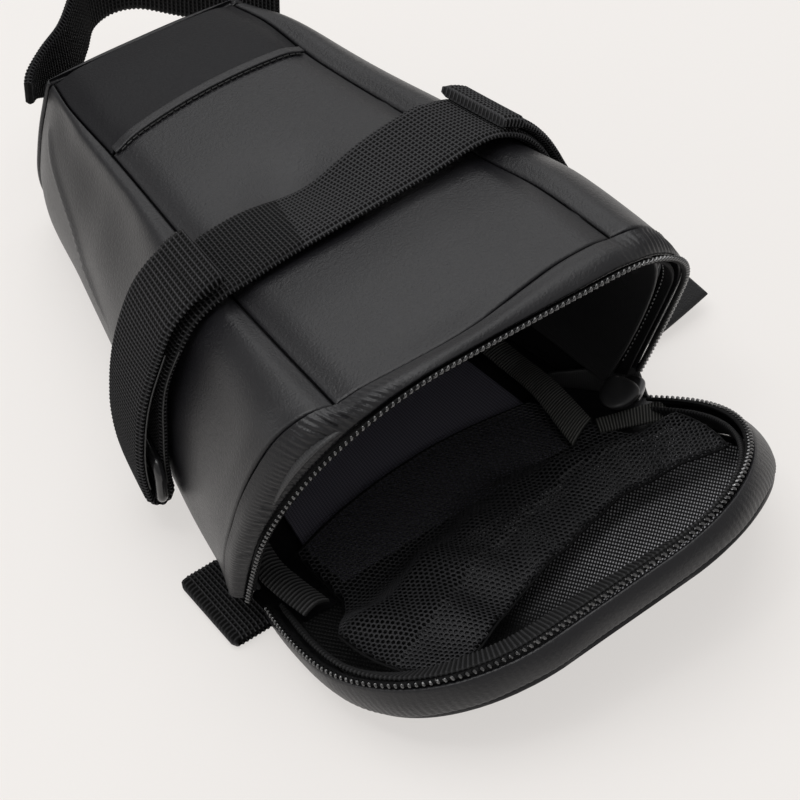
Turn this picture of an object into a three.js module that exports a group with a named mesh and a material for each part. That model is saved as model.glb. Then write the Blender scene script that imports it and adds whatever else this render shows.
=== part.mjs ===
// Bicycle saddle bag, unzipped and lying on its underside with the lid folded open.
// Millimetres, +Z up. +Y runs from the open rear to the narrow end, the opening faces -Y.
import * as THREE from "three";

// Place of the cloth hinge's middle, so that the whole part is centred on the origin
const HINGE_X = -12.05;
const HINGE_Y = -42.06;

// Cloth, webbing and tape thicknesses, and the gap left between neighbouring pieces
const WALL = 1.4;
const LINING = 1.0;
const WEBBING = 1.8;
const TAPE = 1.0;
const GAP = 0.35;

// Table rows with named columns
function namedRows(names, rows) {
  const keys = names.split(" ");
  return rows.map((row) => Object.fromEntries(row.map((value, i) => [keys[i], value])));
}

// Sewn shell: one row per cross-section, from the rim to the narrow end
// y at the floor, lean toward the rim per mm of height, drift of the middle to +X, turn of the section,
// half widths at the foot, the left and right belly and the top seam, heights of the belly and the seam
const SECTIONS = namedRows("y lean drift turn foot left right seam belly top", [
  [7.4, 0.28, 0.0, 0.0, 46.5, 59.0, 56.6, 37.5, 34.0, 71.0],
  [31, 0.25, 1.2, 0.0, 41.0, 53.6, 56.0, 35.9, 31.0, 67.6],
  [46, 0.23, 1.9, 0.01, 37.0, 49.6, 53.2, 33.8, 29.0, 63.8],
  [65, 0.2, 2.7, 0.02, 31.0, 43.7, 49.5, 31.0, 27.5, 60.2],
  [95, 0.16, 4.1, 0.05, 22.5, 35.6, 42.6, 26.9, 26.0, 55.5],
  [113, 0.14, 5.2, 0.08, 17.5, 31.0, 36.3, 25.7, 25.0, 53.5],
  [123, 0.13, 5.9, 0.09, 14.5, 26.6, 30.5, 23.6, 24.0, 51.6],
]);
const BODY_REAR = SECTIONS[0].y;

// How far the seam of the rim band lies behind the first section, over the top and up both sides
const RIM_BACK_TOP = namedRows("across back", [
  [-1.0, 2.0],
  [-0.5, 0.6],
  [-0.1, 0.4],
  [0.3, 2.4],
  [0.6, 3.6],
  [1.0, 3.4],
]);
const RIM_BACK_SIDE = namedRows("up left right", [
  [0.0, 0.0, 0.0],
  [0.16, 0.5, 0.2],
  [0.45, 2.0, 0.4],
  [0.75, 4.0, 1.0],
  [0.9, 3.4, 2.2],
  [1.0, 2.0, 3.4],
]);
const BODY_END = SECTIONS[SECTIONS.length - 1].y;
const BELLY_AT = 0.45;
const SHOULDER = { left: 2.5, right: 2.2 };
const SIDE_NAME = { "-1": "left", 1: "right" };
const CROWN = 1.2;
const HINGE_FLARE = { from: 4.8, to: 6.8, left: 50.6, right: 57.0 };
const BOTTOM_CROWD = 1.6;
const SEAM_DIP = 1.6;
const SEAM_DIP_WIDTH = 3.5;

// Soft dents of the shell: where along Y and up the side (0 foot, 1 seam), reach and depth
const DENTS = [
  { side: -1, y: 92, up: 0.72, long: 26, tall: 0.14, depth: 2.2 },
  { side: -1, y: 38, up: 0.66, long: 14, tall: 0.12, depth: 1.4 },
  { side: 1, y: 70, up: 0.3, long: 30, tall: 0.16, depth: 1.6 },
];
const TOP_DENT = { x: -4, y: 63, wide: 13, long: 11, depth: 3.4 };

// Folded edge across the top where the rear top panel overlaps the front one
const HEM = { y: 97, bow: 3.2, skew: 1.4, round: 1.9 };
const HEM_WIDTH = 2.3;
const HEM_RISE = 0.9;
const HEM_GAP = GAP + 0.2;
const HEM_OVER = 0.8;
const HEM_SHARE = 0.985;

// Zip line of the opening and of the lid: U shaped, from the left hinge end over to the right one
const RIM = { foot: 110.2, shoulder: 113.9, tall: 68.7, left: 41.6, right: 27.9, crown: 1.3, slope: -4.2 };
const RIM_AT = { x: 1.0, y: 1.1, z: 5.5, lean: 16.1 };
const LID = { foot: 102, shoulder: 110.6, tall: 66.3, left: 36.4, right: 44.5, crown: 0, slope: 0 };
const LID_AT = { x: 1.8, y: -1.7, z: 3.5, rise: 26.5, twist: 9.2, yaw: -2.7, shear: 0.4 };
const RIM_ENDS = { from: 0.02, to: 0.994 };
const LID_ENDS = { from: 0.01, to: 0.975 };
const ZIP_STEPS = { wall: 24, corner: 24, top: 16 };
const ZIP_STEP = 0.004;
const BEAD_WIDE = 2.4;
const BEAD_TALL = 2.0;
const BEAD_IN = 0.35;
const BEAD_STEPS = 44;
const BEAD_ROUND = 6;
const BAND_BULGE = 1.5;
const BAND_FLAT = { from: 0.62, to: 0.78, share: 0.9 };
const RIM_TAPE_FROM = 0.45;
const RIM_TAPE_INSET = WALL + 2 * GAP + 0.4;
const SEAM_GAP = 1.2;
const RIM_FOOT = 0.16;
const RIM_STEPS = 40;

// Lid: a shallow tray, with a band round it, a bulged outer panel and a lining
const LID_BAND = 9.0;
// Where the band is slimmer, along the side far from the hinge
const LID_SLIM = { x: 2, reach: 52, deep: 2.9, from: 26, to: 60 };
const LID_BULGE = 1.6;
const LID_ROLL = { from: 0.15, to: 0.85 };
const LID_DOME = { deep: 4.0, across: 4, out: 8 };
const LID_FLOOR = 0.35;
const LID_TAPE = { wide: 5.0, edge: 0.6, inset: WALL + GAP + 0.6, lean: 5.6, flat: 1.4 };
// How far the lid's ribbed tape lies over toward the inside, by its run
const LID_TAPE_LEAN = [
  { run: 0.0, share: 0.0 },
  { run: 0.12, share: 0.2 },
  { run: 0.22, share: 0.6 },
  { run: 0.32, share: 1.0 },
  { run: 0.46, share: 1.0 },
  { run: 0.58, share: 0.7 },
  { run: 0.68, share: 0.2 },
  { run: 0.76, share: 0.0 },
  { run: 1.0, share: 0.0 },
];
const LINING_HINGE = 1.5;
const LINING_RUN = { from: 0.1, share: 0.86 };
const LINING_INSET = 3.6;

// Mesh pocket: sewn edge in the body and valley of its fold (places along Y), open edge in the lid
// (mm from the hinge) and its depth below the zip, by place across
const MESH_THICK = 1.0;
const MESH_BEND = 0.25;
const MESH_SEWN = { x: -2.0, half: 34.0 };
const MESH_LOW = 4.6;
const MESH_CLIMB = 0.4;
const MESH_INSET = { left: 8.5, right: 6.0 };
const MESH_RISE = { hinge: 1.6, belly: 1.5, sag: 1.6 };
const MESH_SPREAD = { from: 0.86, gain: 0.4 };
const MESH_EDGE = [
  { across: -1.0, sewn: 6.8, fold: -10.4, out: 53, deep: 4.4 },
  { across: -0.6, sewn: 10.2, fold: -8.0, out: 47, deep: 4.6 },
  { across: -0.25, sewn: 12.0, fold: -3.0, out: 39, deep: 4.8 },
  { across: 0.0, sewn: 12.6, fold: -0.8, out: 35, deep: 5.2 },
  { across: 0.2, sewn: 12.8, fold: 2.0, out: 31, deep: 5.4 },
  { across: 0.5, sewn: 12.2, fold: -3.4, out: 27, deep: 5.2 },
  { across: 0.75, sewn: 11.0, fold: -6.8, out: 31, deep: 3.8 },
  { across: 1.0, sewn: 9.6, fold: -8.0, out: 38, deep: 2.6 },
];

// Lining of the body: how far it stops short of the shell's ends, its foot up the sides,
// the share of its run on each side, and its inset
const LINING_WALL = { rear: 2.0, front: 3.0, foot: 0.2, sideShare: 0.36, inset: 4.8 };

// Lining of the body's floor, from the hinge to the narrow end
const LINING_FLOOR = { rear: -4.5, short: 5.5, insetRear: 15, insetFront: 5 };

// Ribbed bindings on the inside floor: middle line, width and height from the rear end to the front one,
// with the curl of their edges and the slant of their rear cut
const BINDINGS = [
  {
    name: "binding_left",
    curl: 2.0,
    slant: 0.0,
    path: [
      { y: -9.5, x: -42.4, wide: 7.4, z: 6.6 },
      { y: 0, x: -42.9, wide: 7.4, z: 5.2 },
      { y: 8, x: -42.6, wide: 7.0, z: 4.2 },
      { y: 20, x: -39.5, wide: 6.6, z: 4.0 },
      { y: 30, x: -36.8, wide: 6.6, z: 4.0 },
    ],
  },
  {
    name: "binding_right",
    curl: 0.8,
    slant: 3.6,
    path: [
      { y: -6.4, x: 34.0, wide: 8.6, z: 7.4 },
      { y: 0, x: 34.8, wide: 8.0, z: 7.4 },
      { y: 8, x: 35.9, wide: 7.0, z: 7.0 },
      { y: 14, x: 36.6, wide: 6.6, z: 5.8 },
      { y: 21, x: 37.2, wide: 6.4, z: 4.0 },
      { y: 34, x: 36.0, wide: 6.4, z: 4.0 },
      { y: 60, x: 29.0, wide: 6.4, z: 4.0 },
    ],
  },
];
const BINDING_RUN = { flatten: 0.6, cutFade: 4 };

// Rail strap: 20 mm webbing over the top, down both sides, round the bar of a plastic loop and back up
const STRAP = { near: 30.2, far: 49.8, fold: 3.2, loopUp: 0.3, loopTop: 0.44, turn: 0.03 };
const PINCH = { deep: 3.6, near: 0.1, reach: 0.12 };
const STRAP_END = { left: 0.975, right: 0.94 };

// Steps along the webbing: down each outer layer, round the loop, up the inner layer, over the top
const STRAP_STEPS = { outer: 14, turn: 6, inner: 12, top: 10 };
const STRAP_HALF = STRAP_STEPS.outer + STRAP_STEPS.turn + STRAP_STEPS.inner;
const STRAP_COUNT = 2 * STRAP_HALF + STRAP_STEPS.top;

// Lift of the webbing off the shell by place across the top, at its near and far edges
const STRAP_TOP = [
  { across: -1.0, near: 0.8, far: 1.3 },
  { across: -0.6, near: 1.2, far: 1.6 },
  { across: -0.15, near: 1.4, far: 0.7 },
  { across: 0.05, near: 1.4, far: 0.7 },
  { across: 0.5, near: 1.7, far: 2.6 },
  { across: 0.9, near: 3.0, far: 3.8 },
  { across: 1.0, near: 2.9, far: 3.4 },
];

// Lift by place up the side, for the layer on the shell and for the layer coming back up
const STRAP_SIDE = [
  { up: 0.24, left: 0.45, leftBack: 5.45, right: 0.7, rightBack: 5.7 },
  { up: 0.3, left: 0.45, leftBack: 5.45, right: 0.7, rightBack: 5.7 },
  { up: 0.37, left: 0.5, leftBack: 5.9, right: 0.45, rightBack: 6.3 },
  { up: 0.46, left: 0.9, leftBack: 6.3, right: 0.4, rightBack: 6.8 },
  { up: 0.6, left: 2.6, leftBack: 6.5, right: 0.6, rightBack: 3.6 },
  { up: 0.75, left: 1.8, leftBack: 6.2, right: 0.7, rightBack: 3.1 },
  { up: 0.9, left: 0.9, leftBack: 5.2, right: 1.9, rightBack: 4.7 },
  { up: 1.0, left: 1.0, leftBack: 5.4, right: 3.1, rightBack: 6.0 },
];
const LOOP = { wide: 23.0, tall: 14.0, bar: 3.0, flat: 0.85, corner: 3.0 };
const LOOP_STEPS = { corner: 3, round: 8 };

// Bulge of the narrow end's panel
const FRONT_BULGE = 3.0;
const FRONT_FROM = 0.07;

// Seatpost strap: plan of its upper edge beyond the narrow end, heights of its two edges,
// and the lower edge's shift to +X
const POST_PATH = [
  { x: -21.4, y: 122.0, low: 43.0, high: 49.6, lean: 0.0 },
  { x: -18.4, y: 125.2, low: 40.0, high: 50.0, lean: 0.6 },
  { x: -12.4, y: 129.0, low: 34.0, high: 50.4, lean: 1.4 },
  { x: -4.6, y: 133.2, low: 29.5, high: 50.3, lean: 2.4 },
  { x: 3.2, y: 139.8, low: 29.0, high: 50.0, lean: 2.6 },
  { x: 9.4, y: 145.6, low: 28.5, high: 50.0, lean: 2.4 },
  { x: 16.8, y: 147.6, low: 28.0, high: 50.0, lean: 1.4 },
  { x: 23.4, y: 144.6, low: 29.0, high: 50.0, lean: 0.0 },
  { x: 28.6, y: 138.0, low: 29.0, high: 50.0, lean: 0.0 },
  { x: 33.4, y: 130.6, low: 29.5, high: 50.0, lean: 0.0 },
  { x: 37.9, y: 122.6, low: 30.0, high: 50.0, lean: 0.0 },
  { x: 41.6, y: 114.0, low: 30.5, high: 50.0, lean: 0.0 },
];

// Webbing tabs at the foot of the opening: the left one folded double, the right one a flat end
const TAB_LEFT = {
  near: -3.6,
  far: 17.4,
  inner: -52.2,
  innerFar: -51.0,
  outer: -60.4,
  thick: 1.4,
  fold: 0.5,
  z: 0.1,
  swing: 0.05,
};
const TAB_FOLD = { from: 0.35, to: 0.65 };
const TAB_RIGHT = {
  near: 7.1,
  far: 27.1,
  inner: 51.2,
  innerFar: 48.4,
  outer: 84,
  thick: 1.6,
  z: 0.3,
  swing: 0.05,
  rise: 5,
};

// Zip slider and its pull, parked at the right end of the zip
const SLIDER = { x: 51.2, y: -3.5, z: 6.9, long: 7.6, wide: 5.0, tall: 3.0, turn: 35 };
const PULL = { x: 46.0, y: -4.4, z: 10.0, long: 9.5, wide: 8.0, tall: 2.4, turn: 18 };
const LOZENGE = { rings: 8, round: 12, square: 0.6, tip: 0.12, full: 1.1 };
const TAPER = { slider: 0.1, pull: 0.15 };

const along = (from, to, t) => from + (to - from) * t;

// Value of one column of a table at any place, on a smooth curve through the rows
function column(rows, at, key, x) {
  let i = 0;
  while (i < rows.length - 2 && x > rows[i + 1][at]) i += 1;
  const a = rows[i];
  const b = rows[i + 1];
  const before = rows[Math.max(i - 1, 0)];
  const after = rows[Math.min(i + 2, rows.length - 1)];
  const step = b[at] - a[at];
  const t = THREE.MathUtils.clamp((x - a[at]) / step, -0.2, 1.2);
  const slopeA = ((b[key] - before[key]) / (b[at] - before[at])) * step;
  const slopeB = ((after[key] - a[key]) / (after[at] - a[at])) * step;
  const t2 = t * t;
  const t3 = t2 * t;
  const places = (2 * t3 - 3 * t2 + 1) * a[key] + (3 * t2 - 2 * t3) * b[key];
  return places + (t3 - 2 * t2 + t) * slopeA + (t3 - t2) * slopeB;
}

function sectionAt(y) {
  const row = { y };
  for (const key of ["lean", "drift", "turn", "foot", "left", "right", "seam", "belly", "top"]) {
    row[key] = column(SECTIONS, "y", key, y);
  }
  return row;
}

// Point of a section plane: across from the middle, and up from the floor
function onSection(row, across, z) {
  return new THREE.Vector3(row.drift + across, row.y - row.lean * z - row.turn * across, z);
}

// Groove along the top seams
function seamDip(distance) {
  return SEAM_DIP * Math.exp(-((distance / SEAM_DIP_WIDTH) ** 2));
}

// Side panel: up runs from the foot (0) to the top seam (1)
function sidePoint(side, y, up, inset = GAP / 2, groove = 1) {
  const row = sectionAt(y);
  const belly = row[SIDE_NAME[side]];
  const power = 2 / SHOULDER[SIDE_NAME[side]];
  const foot = row.foot + inset;
  const seam = row.seam + inset;
  let across;
  let z;
  if (up < BELLY_AT) {
    const angle = (up / BELLY_AT) * (Math.PI / 2);
    across = foot + (belly - foot) * Math.sin(angle);
    z = row.belly * (1 - Math.cos(angle));
  } else {
    const angle = ((up - BELLY_AT) / (1 - BELLY_AT)) * (Math.PI / 2);
    across = seam + (belly - seam) * Math.max(Math.cos(angle), 0) ** power;
    z = row.belly + (row.top - row.belly) * Math.sin(angle) ** power;
    z -= groove * seamDip(across - seam);
  }
  for (const dent of DENTS) {
    if (dent.side !== side) continue;
    const fade = Math.exp(-(((y - dent.y) / dent.long) ** 2) - ((up - dent.up) / dent.tall) ** 2);
    across -= dent.depth * fade;
  }
  return onSection(row, side * across, z);
}

// Top panel: across runs from the left seam (-1) to the right one (1)
function topPoint(y, across, groove = 1) {
  const row = sectionAt(y);
  const half = row.seam - GAP / 2;
  const dent = TOP_DENT;
  const fade = Math.exp(-(((half * across - dent.x) / dent.wide) ** 2) - ((y - dent.y) / dent.long) ** 2);
  const bow = CROWN * (1 - across * across) - dent.depth * fade;
  const z = row.top + bow - groove * seamDip(half * (1 - Math.abs(across)));
  return onSection(row, half * across, z);
}

// Underside: it spreads to the width of the lid behind the rim
function bottomPoint(y, across) {
  const row = sectionAt(y);
  const flare = THREE.MathUtils.smoothstep(BODY_REAR - y, HINGE_FLARE.from, HINGE_FLARE.to);
  const wide = across < 0 ? HINGE_FLARE.left : HINGE_FLARE.right;
  return onSection(row, along(row.foot - GAP / 2, wide, flare) * across, 0);
}

// Outward direction of a surface given by two running values
function normalOf(surface, u, v) {
  const step = 1e-3;
  const uA = Math.max(u - step, 0);
  const uB = Math.min(u + step, 1);
  const vA = Math.max(v - step, 0);
  const vB = Math.min(v + step, 1);
  const alongU = surface(uB, v).sub(surface(uA, v));
  const alongV = surface(u, vB).sub(surface(u, vA));
  return alongU.cross(alongV).normalize();
}

// Closed body between a surface and its copy set back by the thickness
function sheet(surface, countU, countV, thick) {
  const positions = [];
  const index = [];
  const id = (layer, i, j) => (layer * (countU + 1) + i) * (countV + 1) + j;
  for (let layer = 0; layer < 2; layer += 1) {
    for (let i = 0; i <= countU; i += 1) {
      for (let j = 0; j <= countV; j += 1) {
        const u = i / countU;
        const v = j / countV;
        const p = surface(u, v);
        const back = typeof thick === "function" ? thick(u, v) : thick;
        if (layer === 1) p.addScaledVector(normalOf(surface, u, v), -back);
        positions.push(p.x, p.y, p.z);
      }
    }
  }
  const quad = (a, b, c, d) => index.push(a, b, c, a, c, d);
  for (let i = 0; i < countU; i += 1) {
    for (let j = 0; j < countV; j += 1) {
      quad(id(0, i, j), id(0, i + 1, j), id(0, i + 1, j + 1), id(0, i, j + 1));
      quad(id(1, i, j), id(1, i, j + 1), id(1, i + 1, j + 1), id(1, i + 1, j));
    }
  }
  for (let i = 0; i < countU; i += 1) {
    quad(id(1, i, 0), id(1, i + 1, 0), id(0, i + 1, 0), id(0, i, 0));
    quad(id(0, i, countV), id(0, i + 1, countV), id(1, i + 1, countV), id(1, i, countV));
  }
  for (let j = 0; j < countV; j += 1) {
    quad(id(0, 0, j), id(0, 0, j + 1), id(1, 0, j + 1), id(1, 0, j));
    quad(id(1, countU, j), id(1, countU, j + 1), id(0, countU, j + 1), id(0, countU, j));
  }
  return closedGeometry(positions, index);
}

// Closed body through rings of points, open rings capped at both ends or joined into a loop
function rings(list, looped) {
  const positions = [];
  const index = [];
  const size = list[0].length;
  for (const ring of list) for (const p of ring) positions.push(p.x, p.y, p.z);
  const spans = looped ? list.length : list.length - 1;
  for (let i = 0; i < spans; i += 1) {
    const next = (i + 1) % list.length;
    for (let j = 0; j < size; j += 1) {
      const k = (j + 1) % size;
      index.push(i * size + j, next * size + j, next * size + k);
      index.push(i * size + j, next * size + k, i * size + k);
    }
  }
  if (!looped) {
    const last = (list.length - 1) * size;
    for (let j = 1; j < size - 1; j += 1) {
      index.push(0, j, j + 1);
      index.push(last, last + j + 1, last + j);
    }
  }
  return closedGeometry(positions, index);
}

// Indexed geometry with its faces turned outward
function closedGeometry(positions, index) {
  let volume = 0;
  const corner = (k) => new THREE.Vector3().fromArray(positions, 3 * k);
  for (let i = 0; i < index.length; i += 3) {
    volume += corner(index[i]).dot(corner(index[i + 1]).cross(corner(index[i + 2])));
  }
  if (volume < 0) {
    for (let i = 0; i < index.length; i += 3) [index[i + 1], index[i + 2]] = [index[i + 2], index[i + 1]];
  }
  const geometry = new THREE.BufferGeometry();
  geometry.setAttribute("position", new THREE.Float32BufferAttribute(positions, 3));
  geometry.setIndex(index);
  geometry.computeVertexNormals();
  return geometry;
}

// U shaped zip line in its own plane: run from 0 (left hinge end) to 1 (right hinge end)
function zipLine(shape, run) {
  const points = zipPoints(shape);
  const target = run * points[points.length - 1].length;
  let i = 1;
  while (i < points.length - 1 && points[i].length < target) i += 1;
  const a = points[i - 1];
  const b = points[i];
  const t = (target - a.length) / (b.length - a.length);
  return { u: a.u + (b.u - a.u) * t, v: a.v + (b.v - a.v) * t };
}

const zipCache = new Map();

function zipPoints(shape) {
  if (zipCache.has(shape)) return zipCache.get(shape);
  const half = (radius) => {
    const list = [];
    const rise = shape.tall - radius;
    const flare = (shape.shoulder - shape.foot) / 2;
    const straight = shape.shoulder / 2 - radius;
    const { wall, corner, top } = ZIP_STEPS;
    for (let i = 0; i < wall; i += 1) {
      const t = i / wall;
      list.push({ u: shape.foot / 2 + flare * Math.sin((t * Math.PI) / 2), v: t * rise });
    }
    for (let i = 0; i < corner; i += 1) {
      const angle = (i / corner) * (Math.PI / 2);
      list.push({ u: straight + radius * Math.cos(angle), v: rise + radius * Math.sin(angle) });
    }
    for (let i = 0; i <= top; i += 1) list.push({ u: straight * (1 - i / top), v: shape.tall });
    return list;
  };
  const left = half(shape.left).map((p) => ({ u: -p.u, v: p.v }));
  const right = half(shape.right).reverse().slice(1);
  const points = [...left, ...right];
  let length = 0;
  points.forEach((p, i) => {
    const across = (2 * p.u) / shape.shoulder;
    const up = p.v / shape.tall;
    p.v += shape.crown * Math.max(0, up - 0.5) * 2 * (1 - across ** 2) + shape.slope * across * up;
    if (i > 0) length += Math.hypot(p.u - points[i - 1].u, p.v - points[i - 1].v);
    p.length = length;
  });
  zipCache.set(shape, points);
  return points;
}

// Direction pointing out of the U in its plane
function zipOutward(shape, run) {
  const a = zipLine(shape, Math.max(run - ZIP_STEP, 0));
  const b = zipLine(shape, Math.min(run + ZIP_STEP, 1));
  const long = Math.hypot(b.u - a.u, b.v - a.v);
  return { u: -(b.v - a.v) / long, v: (b.u - a.u) / long };
}

const onEnds = (ends, run) => along(ends.from, ends.to, run);

// Point of the opening's plane: across, up the plane, and behind it toward the narrow end
function onRim(u, v, behind = 0) {
  const lean = THREE.MathUtils.degToRad(RIM_AT.lean);
  const back = new THREE.Vector3(0, Math.cos(lean), Math.sin(lean));
  const p = new THREE.Vector3(RIM_AT.x + u, RIM_AT.y - v * Math.sin(lean), RIM_AT.z + v * Math.cos(lean));
  return p.addScaledVector(back, behind);
}

// Rise of the lid's zip plane: the far right corner stands higher than the far left one
function lidRise(u, v) {
  const twist = (LID_AT.twist * 2 * u * v) / (LID.shoulder * LID.tall);
  return v * Math.sin(THREE.MathUtils.degToRad(LID_AT.rise)) + twist;
}

// Point of the lid: across, out from the hinge, and deep below the zip plane; the walls lean to the right
function onLid(u, v, deep = 0) {
  const rise = THREE.MathUtils.degToRad(LID_AT.rise);
  const p = new THREE.Vector3(u + LID_AT.shear * deep, -v * Math.cos(rise) - deep * Math.sin(rise), 0);
  p.applyAxisAngle(new THREE.Vector3(0, 0, 1), THREE.MathUtils.degToRad(LID_AT.yaw));
  p.z = lidRise(u, v) - deep * Math.cos(rise);
  return p.add(new THREE.Vector3(LID_AT.x, LID_AT.y, LID_AT.z));
}

// Place along Y of the rim band's seam on a side panel and on the top panel
const rimSide = (side, up) => BODY_REAR + column(RIM_BACK_SIDE, "up", SIDE_NAME[side], up);
const rimTop = (across) => BODY_REAR + column(RIM_BACK_TOP, "across", "back", across);

// Outline of the shell at the rim, by the same run as the zip line
function shellRim(run) {
  const parts = [];
  const sidePart = (side, t) => {
    const up = along(RIM_FOOT, 1, t);
    parts.push(sidePoint(side, rimSide(side, up), up));
  };
  for (let i = 0; i <= RIM_STEPS; i += 1) sidePart(-1, i / RIM_STEPS);
  for (let i = 0; i <= RIM_STEPS; i += 1) {
    const across = (2 * i) / RIM_STEPS - 1;
    parts.push(topPoint(rimTop(across), across));
  }
  for (let i = 0; i <= RIM_STEPS; i += 1) sidePart(1, 1 - i / RIM_STEPS);
  const lengths = [0];
  for (let i = 1; i < parts.length; i += 1) {
    lengths.push(lengths[i - 1] + parts[i].distanceTo(parts[i - 1]));
  }
  const target = run * lengths[lengths.length - 1];
  let i = 1;
  while (i < parts.length - 1 && lengths[i] < target) i += 1;
  const t = (target - lengths[i - 1]) / Math.max(lengths[i] - lengths[i - 1], 1e-6);
  return parts[i - 1].clone().lerp(parts[i], t);
}

// Straight line across the band at a place of the run: from the shell's edge to the zip line
function bandLine(run, v) {
  const line = zipLine(RIM, run);
  const edge = onRim(line.u, line.v, GAP);
  const seam = shellRim(run);
  seam.addScaledVector(edge.clone().sub(seam).normalize(), SEAM_GAP);
  return seam.lerp(edge, v);
}

// Move a point of the opening out of the U, in the plane of the opening
function pushOut(p, run, reach) {
  const out = zipOutward(RIM, run);
  return p.add(onRim(out.u * reach, out.v * reach).sub(onRim(0, 0)));
}

// Coated band from the shell's edge to the zip line, rolled outward a little but for its right side
function rimBand(u, v) {
  const run = onEnds(RIM_ENDS, u);
  const flat = BAND_FLAT.share * THREE.MathUtils.smoothstep(run, BAND_FLAT.from, BAND_FLAT.to);
  return pushOut(bandLine(run, v), run, BAND_BULGE * (1 - flat) * Math.sin(Math.PI * v));
}

// Zip tape inside the band
function rimTape(u, v) {
  const run = onEnds(RIM_ENDS, u);
  return pushOut(bandLine(run, along(RIM_TAPE_FROM, 1, v)), run, -RIM_TAPE_INSET);
}

// Row of zip teeth as a plain bead: ring across the line
function bead(shape, place, run) {
  const line = zipLine(shape, run);
  const out = zipOutward(shape, run);
  const ring = [];
  for (let i = 0; i < BEAD_ROUND; i += 1) {
    const angle = (i / BEAD_ROUND) * 2 * Math.PI;
    const side = (BEAD_WIDE / 2) * Math.cos(angle) - BEAD_WIDE * BEAD_IN;
    const off = (BEAD_TALL / 2) * Math.sin(angle) - BEAD_TALL / 2 - GAP;
    ring.push(place(line.u + out.u * side, line.v + out.v * side, off));
  }
  return ring;
}

// Half widths of the lid at a distance from the hinge
function lidHalf(v, side) {
  const radius = side < 0 ? LID.left : LID.right;
  const rise = LID.tall - radius;
  const flare = (LID.shoulder - LID.foot) / 2;
  if (v < rise) return LID.foot / 2 + flare * Math.sin(((v / rise) * Math.PI) / 2);
  const past = Math.min(v - rise, radius);
  return LID.shoulder / 2 - radius + Math.sqrt(radius * radius - past * past);
}

// Room between the lid's zip plane and the floor
function lidRoom(u, v) {
  return (LID_AT.z - LID_FLOOR + lidRise(u, v)) / Math.cos(THREE.MathUtils.degToRad(LID_AT.rise));
}

// Depth of the lid's wall and of its bulged panel, kept clear of the floor
function wallDepth(u, v) {
  const far = THREE.MathUtils.smoothstep(v, LID_SLIM.from, LID_SLIM.to);
  const slim = LID_SLIM.deep * far * Math.exp(-(((u - LID_SLIM.x) / LID_SLIM.reach) ** 4));
  return Math.min(LID_BAND, lidRoom(u, v) - WALL - 2 * GAP) - slim;
}

const domeDepth = (u, v) => Math.min(wallDepth(u, v) + WALL + 2 * GAP + LID_DOME.deep, lidRoom(u, v));

// Band round the lid, from the teeth down to the outer panel
function lidBand(u, v) {
  const run = onEnds(LID_ENDS, u);
  const line = zipLine(LID, run);
  const out = zipOutward(LID, run);
  const roll = LID_BULGE * Math.sin(Math.PI * along(LID_ROLL.from, LID_ROLL.to, v));
  return onLid(line.u + out.u * roll, line.v + out.v * roll, GAP + (wallDepth(line.u, line.v) - GAP) * v);
}

// Outer panel of the lid: a shallow bulged tray
function lidPanel(u, v, inset = 0, raise = 0) {
  const out = (LID.tall - inset) * v + (inset > 0 ? LINING_HINGE * (1 - v) : 0);
  const left = lidHalf(out, -1) - inset;
  const right = lidHalf(out, 1) - inset;
  const across = -left + (left + right) * u;
  const rim = (1 - Math.abs(2 * u - 1) ** LID_DOME.across) * (1 - v ** LID_DOME.out);
  const wall = wallDepth(across, out) + WALL + 2 * GAP;
  return onLid(across, out, wall + (domeDepth(across, out) - wall) * rim - raise);
}

// Ribbed tape inside the lid's edge, lying over inward along the side far from the hinge
function lidTape(u, v) {
  const run = onEnds(LID_ENDS, u);
  const line = zipLine(LID, run);
  const out = zipOutward(LID, run);
  const lean = column(LID_TAPE_LEAN, "run", "share", run);
  const upright = Math.min(LID_TAPE.wide, wallDepth(line.u, line.v) - LID_TAPE.edge);
  const inset = LID_TAPE.inset + LID_TAPE.lean * lean * v;
  const depth = along(LID_TAPE.edge, along(upright, LID_TAPE.flat, lean), v);
  return onLid(line.u - out.u * inset, line.v - out.v * inset, depth);
}

// Mesh pocket past its fold: up from the valley and out to the open edge in the lid
function meshInLid(across, t) {
  const at = (key) => column(MESH_EDGE, "across", key, across);
  const rise = THREE.MathUtils.degToRad(LID_AT.rise);
  const place = along((LID_AT.y - at("fold")) / Math.cos(rise), at("out"), t);
  const spread = Math.min(1, MESH_SPREAD.from + MESH_SPREAD.gain * t);
  const inset = across < 0 ? MESH_INSET.left : MESH_INSET.right;
  const reach = across * (lidHalf(place, across) - inset) * spread;
  const low = (LID_AT.z + lidRise(reach, place) - MESH_LOW) / Math.cos(rise);
  const { hinge, belly, sag } = MESH_RISE;
  const bulge = belly * Math.sin(Math.PI * t) * (1 - across * across);
  const high = (at("deep") + hinge) * t ** sag - hinge - bulge;
  return onLid(reach, place, along(low, high, THREE.MathUtils.smoothstep(t, 0, MESH_CLIMB)));
}

// Mesh pocket: from its sewn edge on the body's floor to its fold and on into the lid
function meshPocket(u, v) {
  const across = 2 * u - 1;
  if (v >= MESH_BEND) return meshInLid(across, (v - MESH_BEND) / (1 - MESH_BEND));
  const y = column(MESH_EDGE, "across", "sewn", across);
  const sewn = new THREE.Vector3(MESH_SEWN.x + MESH_SEWN.half * across, y, MESH_LOW);
  return sewn.lerp(meshInLid(across, 0), v / MESH_BEND);
}

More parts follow.
